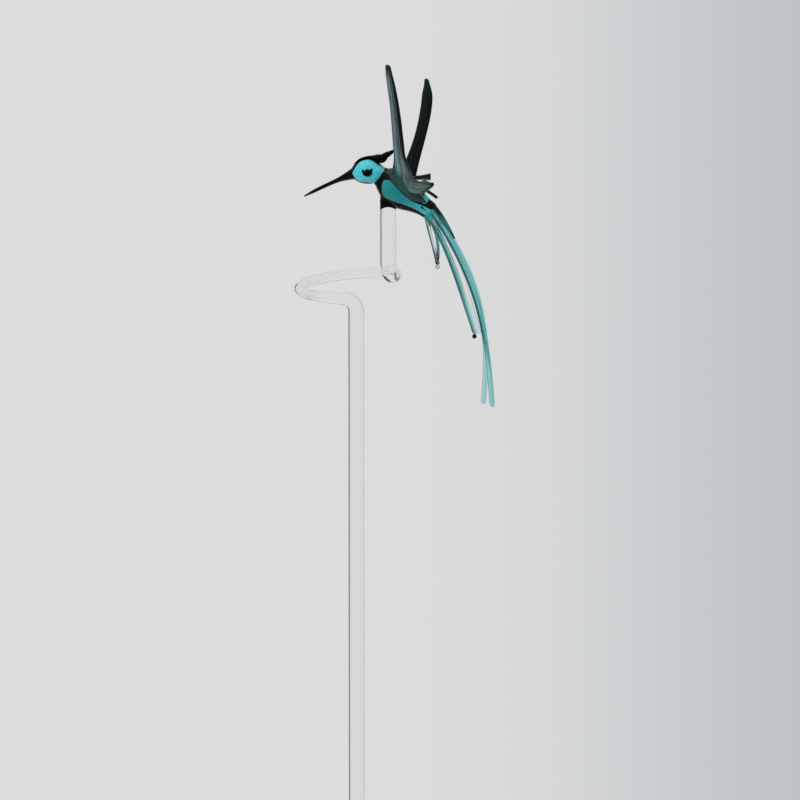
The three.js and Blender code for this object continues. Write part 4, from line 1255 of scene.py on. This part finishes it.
for kind, colours in STROKE_COLOURS.items():
    stroke_glass(kind, *colours)
for node, pattern in TAIL_LINES.items():
    aqua_glass(node, *pattern)


# Build the pieces and set them on the frame


def dressed(piece, glass):
    piece.data.materials.append(GLASS[glass])
    return piece


def set_on_frame(piece, slot, *nodes):
    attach(piece, "root")
    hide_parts(*nodes)


def put(piece, slot, *nodes, glass=None):
    """A piece in its slot's glass, or in another glass of that slot."""
    set_on_frame(dressed(piece, glass or slot), slot, *nodes)


put(clear_rod(), "clear_glass", "stake_rod", "stem_loop", "perch_post")
put(body_core(), "black_glass", "body_core")
put(belly_sleeve(), "black_glass", "body_core")
put(neck_collar(), "black_glass", "neck_collar")
put(head_core(), "black_glass", "head_core")
put(beak(), "black_glass", "beak")
put(crown_crest(), "black_glass", "crown_crest")
mantles = {}
for label, side in (("left", -1), ("right", 1)):
    put(cheek_patch(f"cheek_patch_{label}_glass", side), "turquoise_glass", f"cheek_patch_{label}")
    put(eye(f"eye_{label}_glass", side), "black_glass", f"eye_{label}")
    put(flank_panel(f"flank_panel_{label}_glass", side), "teal_glass", f"flank_panel_{label}")
    mantles[label] = mantle(f"mantle_{label}_glass", side)
    put(mantles[label], "smoke_glass", f"wing_{label}_primary", glass="mantle_glass")
put(rump_patch(), "teal_glass", "rump_patch", glass="rump_glass")
put(rump_seam(), "black_glass", "flank_panel_left")

left_blade = primary(
    "wing_left_primary_glass",
    side=-1,
    tip=(-5.5, -LEFT_WING_SPREAD, LEFT_WING_RISE - INSET),
    bow=(1.4, -0.4, 0),
    hook=(1.4, -0.4, 0),
    chord=4,
    root_chord=10,
    tip_chord=2.2,
    flare=(1, 0.47, 0.05, 0),
    taper=(0.18, 0.32, 0.42, 0.63, 1),
)
put(left_blade, "smoke_glass", "wing_left_primary")
right_blade = primary(
    "wing_right_primary_glass",
    side=1,
    tip=(0.2, 20.8, 41),
    bow=(-1.3, 0, 0),
    hook=(4, 0, 0),
    chord=4.4,
    root_chord=9,
    tip_chord=1.9,
    flare=(1, 0.42, 0.2, 0.06),
    taper=(0, 0, 0, 0.15, 1),
    held=2.2,
)
# The far wing wears the smoke glass darkened as painted shade
put(right_blade, "smoke_glass", "wing_right_primary", glass="shaded_smoke_glass")
left_lobe = lobe(
    "wing_left_secondary_glass",
    side=-1,
    start=(1.8, -0.3, 4.5),
    leaves=(0.2, 0, -3.5),
    hangs=(-6, 0.5, -2.2),
    tip=(11.95, -2.2, 2.15),
    chord=5.6,
    shares=(0.5, 0.9, 1, 0.95, 0.78, 0.29),
    thickness=LOBE_THICKNESS,
    chords=(vec(1, 0, 0), unit(vec(-0.35, 0, 1))),
    blunt=False,
)
put(left_lobe, "smoke_glass", "wing_left_secondary", glass="lobe_glass")

# Each combed stroke's share of the blade's width and the points of its foot
WING_STROKES = {
    "black_green": (
        0.1,
        (12.3, 2.2, 1.9), (10.3, 2, 2.55), (7.6, 1.8, 2.65), (5.4, 1.6, 3.2), (3.9, 1.5, 4.7), (2.9, 1.4, 7),
    ),
    "dark_teal": (
        0.27,
        (12.4, 2.2, 1.5), (10.4, 2.1, 1.75), (7.8, 1.9, 1.75),
        (5.3, 1.8, 2.1), (3.5, 1.7, 3.7), (2.3, 1.6, 6.4),
    ),
    "light_grey": (
        0.41,
        (12, 2.1, 1.1), (10.3, 2, 0.95), (7.9, 1.9, 0.75), (5.3, 1.8, 0.9), (3.2, 1.8, 2.5), (1.8, 1.7, 5.6),
    ),
    "grey_teal": (
        0.51,
        (11.2, 1.9, 0.8), (9.7, 1.9, 0.2), (7.7, 1.8, -0.15),
        (5.3, 1.7, -0.2), (2.9, 1.7, 1.3), (1.2, 1.6, 4.8),
    ),
    "grey_moss": (
        0.57,
        (9.7, 1.7, -0.05), (8, 1.7, -0.6), (6.3, 1.6, -0.85),
        (4.4, 1.6, -0.7), (2.5, 1.5, 0.5), (0.7, 1.5, 4),
    ),
    "slate_moss": (
        0.62,
        (6.8, 1.4, -2.5), (5.1, 1.4, -1.9), (3.4, 1.4, -0.9), (1.9, 1.4, 0.8), (0.6, 1.4, 3.6),
    ),
    "slate_teal": (
        0.69,
        (6.4, 1.4, -3.6), (4.6, 1.4, -2.7), (2.8, 1.4, -1.2), (1.2, 1.4, 0.9), (-0.1, 1.4, 4),
    ),
    "slate": (0.77, (4.4, 1.3, -3.6), (2.8, 1.3, -2.1), (1.1, 1.3, -0.2), (-0.4, 1.3, 2), (-1.2, 1.3, 5.2)),
    "light_slate": (0.86, (2, 1, -2), (0.6, 1, -0.4), (-0.7, 1, 1.3), (-1.7, 1, 3.3), (-2, 1.2, 6.4)),
    "dark_slate": (0.96, (-1, 0.8, 1.1), (-2, 0.8, 2.4), (-2.7, 0.8, 3.8), (-3, 0.8, 5.5), (-2.75, 1, 8)),
    "front_slate": (
        1,
        (-3.6, 0.4, 3.2), (-4, 0.4, 4.3), (-4.2, 0.4, 5.4), (-3.9, 0.5, 6.7), (-3.2, 0.9, 8.6),
    ),
}
wing_and_back = [ground(piece) for piece in (left_blade, left_lobe, mantles["left"])]
strokes = []
for glass, (share, *foot) in WING_STROKES.items():
    grounds = wing_and_back if share < 1 else wing_and_back[:1]  # on the front edge, the blade alone
    strokes.append(dressed(wing_stroke(f"stroke_{glass}", grounds, foot, share), glass))
wing_strokes = joined("wing_left_strokes_glass", strokes)
set_on_frame(wing_strokes, "smoke_glass", "wing_left_primary", "wing_left_secondary")

# Stations and heights above the body's axis that each stroke on the back runs through
MANTLE_STROKES = {
    "bark": ((3.2, 3.2), (5.5, 2.4), (9, 1.8), (12.5, 1.15), (15.5, 0.65), (18.6, 1.4), (20.2, 2.1)),
    "deep_teal": ((2.8, 4), (5.5, 3.3), (9, 2.7), (12.5, 2.1), (15.5, 1.5), (18.3, 1.9)),
    "moss": ((2.8, 4.8), (4.5, 4.6), (6.5, 4.3), (8.5, 4), (10.5, 3.6)),
}
strokes = [dressed(mantle_stroke(f"stroke_{glass}", line), glass) for glass, line in MANTLE_STROKES.items()]
set_on_frame(joined("mantle_left_strokes_glass", strokes), "smoke_glass", "wing_left_primary")

# Lobes of the far wing
right_lobe = lobe(
    "wing_right_secondary_glass",
    side=1,
    start=(1.2, 0.4, 4.3),
    leaves=(2, 0.9, 0.1),
    hangs=(-2, -0.6, -0.3),
    tip=(7.4, 2.6, 4.9),
    chord=2.7,
    shares=(0.6, 0.65, 0.7, 0.85, 1),
    thickness=LOBE_THICKNESS,
    chords=UPRIGHT,
)
put(right_lobe, "smoke_glass", "wing_right_secondary", glass="highlit_rim_smoke_glass")
tertial = lobe(
    "wing_right_tertial_glass",
    side=1,
    start=(1.7, -0.2, 1.8),
    leaves=(3.4, 0.4, -1.1),
    hangs=(-2.6, -0.1, 1.9),
    tip=(10.7, 0.6, -2.8),
    chord=2.8,
    shares=(0.5, 1.2, 1.3, 1.05, 0.85),
    thickness=TERTIAL_THICKNESS,
    chords=SIDEWAYS,
)
# The tertial wears the same smoke glass darkened as painted shade
put(tertial, "smoke_glass", "wing_right_tertial", glass="shaded_smoke_glass")

# Each tail rod's diameter and its shares of it from root to tip
EVEN = (1.15, 1.05, 1, 1, 1, 1)
FULL = (1.15, 1.15, 1.15, 1.15, 1.12, 1.05)
TAPERED = (1.25, 1.1, 1, 0.9, 0.8)
for node, diameter, shares in (
    ("streamer_left", STREAMER_DIAMETER, EVEN),
    ("streamer_right", STREAMER_DIAMETER, EVEN),
    ("mid_feather_left", MID_FEATHER_DIAMETER, FULL),
    ("mid_feather_right", MID_FEATHER_DIAMETER, EVEN),
    ("short_feather_left", SHORT_FEATHER_DIAMETER, TAPERED),
    ("short_feather_middle", SHORT_FEATHER_DIAMETER, TAPERED),
    ("short_feather_right", SHORT_FEATHER_DIAMETER, TAPERED),
):
    put(tail_rod(node, diameter, shares), "aqua_glass", node, glass=node)
mid_bead = tip_bead("mid_tip_bead_glass", MID_BEAD_DIAMETER, "mid_feather_left", MID_FEATHER_DIAMETER)
put(mid_bead, "black_glass", "mid_tip_bead")
short_tip = TAPERED[-1] * SHORT_FEATHER_DIAMETER
short_bead = tip_bead("short_tip_bead_glass", SHORT_BEAD_DIAMETER, "short_feather_middle", short_tip)
put(short_bead, "clear_glass", "short_tip_bead", glass="shade_rimmed_clear_glass")
put(tail_covert(), "black_glass", "tail_covert", glass="covert_glass")


# Floor, light and camera


def floor():
    """A pale disc that fades out towards its rim."""
    angle = round_angles(96)
    rim = np.stack([np.cos(angle), np.sin(angle), 0 * angle], axis=-1)
    mesh = bpy.data.meshes.new("floor")
    mesh.from_pydata(rim.tolist(), [], [tuple(range(len(rim)))])
    surface = bpy.data.materials.new("floor")
    surface.use_nodes = True
    tree = surface.node_tree
    tree.nodes.clear()
    spot = add(tree, "NewGeometry", {})["Position"]
    far = add(tree, "VectorMath", {0: spot}, operation="LENGTH")["Value"]
    sockets = {"Value": far, "From Min": FLOOR_FADE[0], "From Max": FLOOR_FADE[1]}
    fade = add(tree, "MapRange", sockets, interpolation_type="SMOOTHSTEP")["Result"]
    pale = add(tree, "BsdfDiffuse", {"Color": (0.72, 0.72, 0.72, 1)})[0]
    clear = add(tree, "BsdfTransparent", {})[0]
    mixed = add(tree, "MixShader", {0: fade, 1: pale, 2: clear})[0]
    add(tree, "OutputMaterial", {"Surface": mixed})
    mesh.materials.append(surface)
    linked("floor", mesh)


def greys(levels):
    """A ramp's stops in grey, from the level at each share of a direction from -1 to 1."""
    return {(place + 1) / 2: (level, level, level) for place, level in levels.items()}


def studio():
    """A pale studio: its own backdrop for the camera, darker ends of the room through glass and in gloss."""
    world = bpy.data.worlds.new("studio")
    bpy.context.scene.world = world
    world.use_nodes = True
    tree = world.node_tree
    tree.nodes.clear()
    ahead = add(tree, "SeparateXYZ", {"Vector": add(tree, "TexCoord", {})["Generated"]})

    def by(axis, stops):
        place = add(tree, "MapRange", {"Value": ahead[axis], "From Min": -1, "From Max": 1})["Result"]
        return ramp(tree, place, stops)

    backdrop = {
        0: (0.74, 0.74, 0.74),
        0.5: (0.716, 0.716, 0.716),
        0.51: (0.68, 0.69, 0.695),
        0.53: (0.5, 0.53, 0.56),
        1: (0.45, 0.47, 0.5),
    }
    left = {-1: 0.4, -0.9: 0.5, -0.75: 0.7, 0: 0.716}
    right = {0.6: 0.7, 0.76: 0.12, 0.92: 0.08, 0.97: 0.45, 1: 0.6}
    ends = {-1: 0.5, -0.85: 1, 0.66: 1, 0.84: 0.35, 1: 0.4}
    through = multiplied(tree, by("X", greys(left | right)), by("Z", greys(ends)))
    sheen = by("Z", greys({-1: 0.1, 0: 0.15, 0.45: 0.3, 0.7: 0.6, 1: 0.6}))
    behind = by("Y", greys({-1: 0, 0.3: 0, 0.8: 0.5, 1: 0.55}))
    gloss = blend(tree, 1, sheen, behind, "LIGHTEN")
    rays = add(tree, "LightPath", {})
    colour = blend(tree, rays["Is Glossy Ray"], (0.55, 0.55, 0.55, 1), gloss)
    colour = blend(tree, rays["Is Transmission Ray"], colour, through)
    colour = blend(tree, rays["Is Camera Ray"], colour, by("X", backdrop))
    seen = add(tree, "Background", {"Color": colour, "Strength": 1})[0]
    add(tree, "OutputWorld", {"Surface": seen})


def aimed(name, data, place, target):
    made = linked(name, data)
    made.location = place
    made.rotation_euler = (Vector(target) - Vector(place)).to_track_quat("-Z", "Y").to_euler()
    return made


def lamp(name, place, size, power):
    """A soft lamp aimed at the bird that lights the glass without being mirrored in it."""
    light = bpy.data.lights.new(name, "AREA")
    light.shape = "DISK"
    light.size = size
    light.energy = power
    made = aimed(name, light, place, perch * MM)
    made.visible_glossy = False
    made.visible_transmission = False


def camera():
    data = bpy.data.cameras.new("camera")
    data.sensor_width = SENSOR
    data.lens = SENSOR * VIEW_DISTANCE / VIEW_WIDTH
    data.clip_end = 50
    target = Vector(VIEW_CENTRE) * MM
    back = Vector((0, -cosd(VIEW_ELEVATION), sind(VIEW_ELEVATION)))
    bpy.context.scene.camera = aimed("camera", data, target + back * VIEW_DISTANCE * MM, target)


floor()
studio()
lamp("key", place=(-1.1, -0.9, 1.3), size=1.2, power=16)
lamp("top", place=(0.2, 0.5, 1.7), size=1.2, power=8)
camera()
bpy.context.scene.view_settings.view_transform = "Standard"
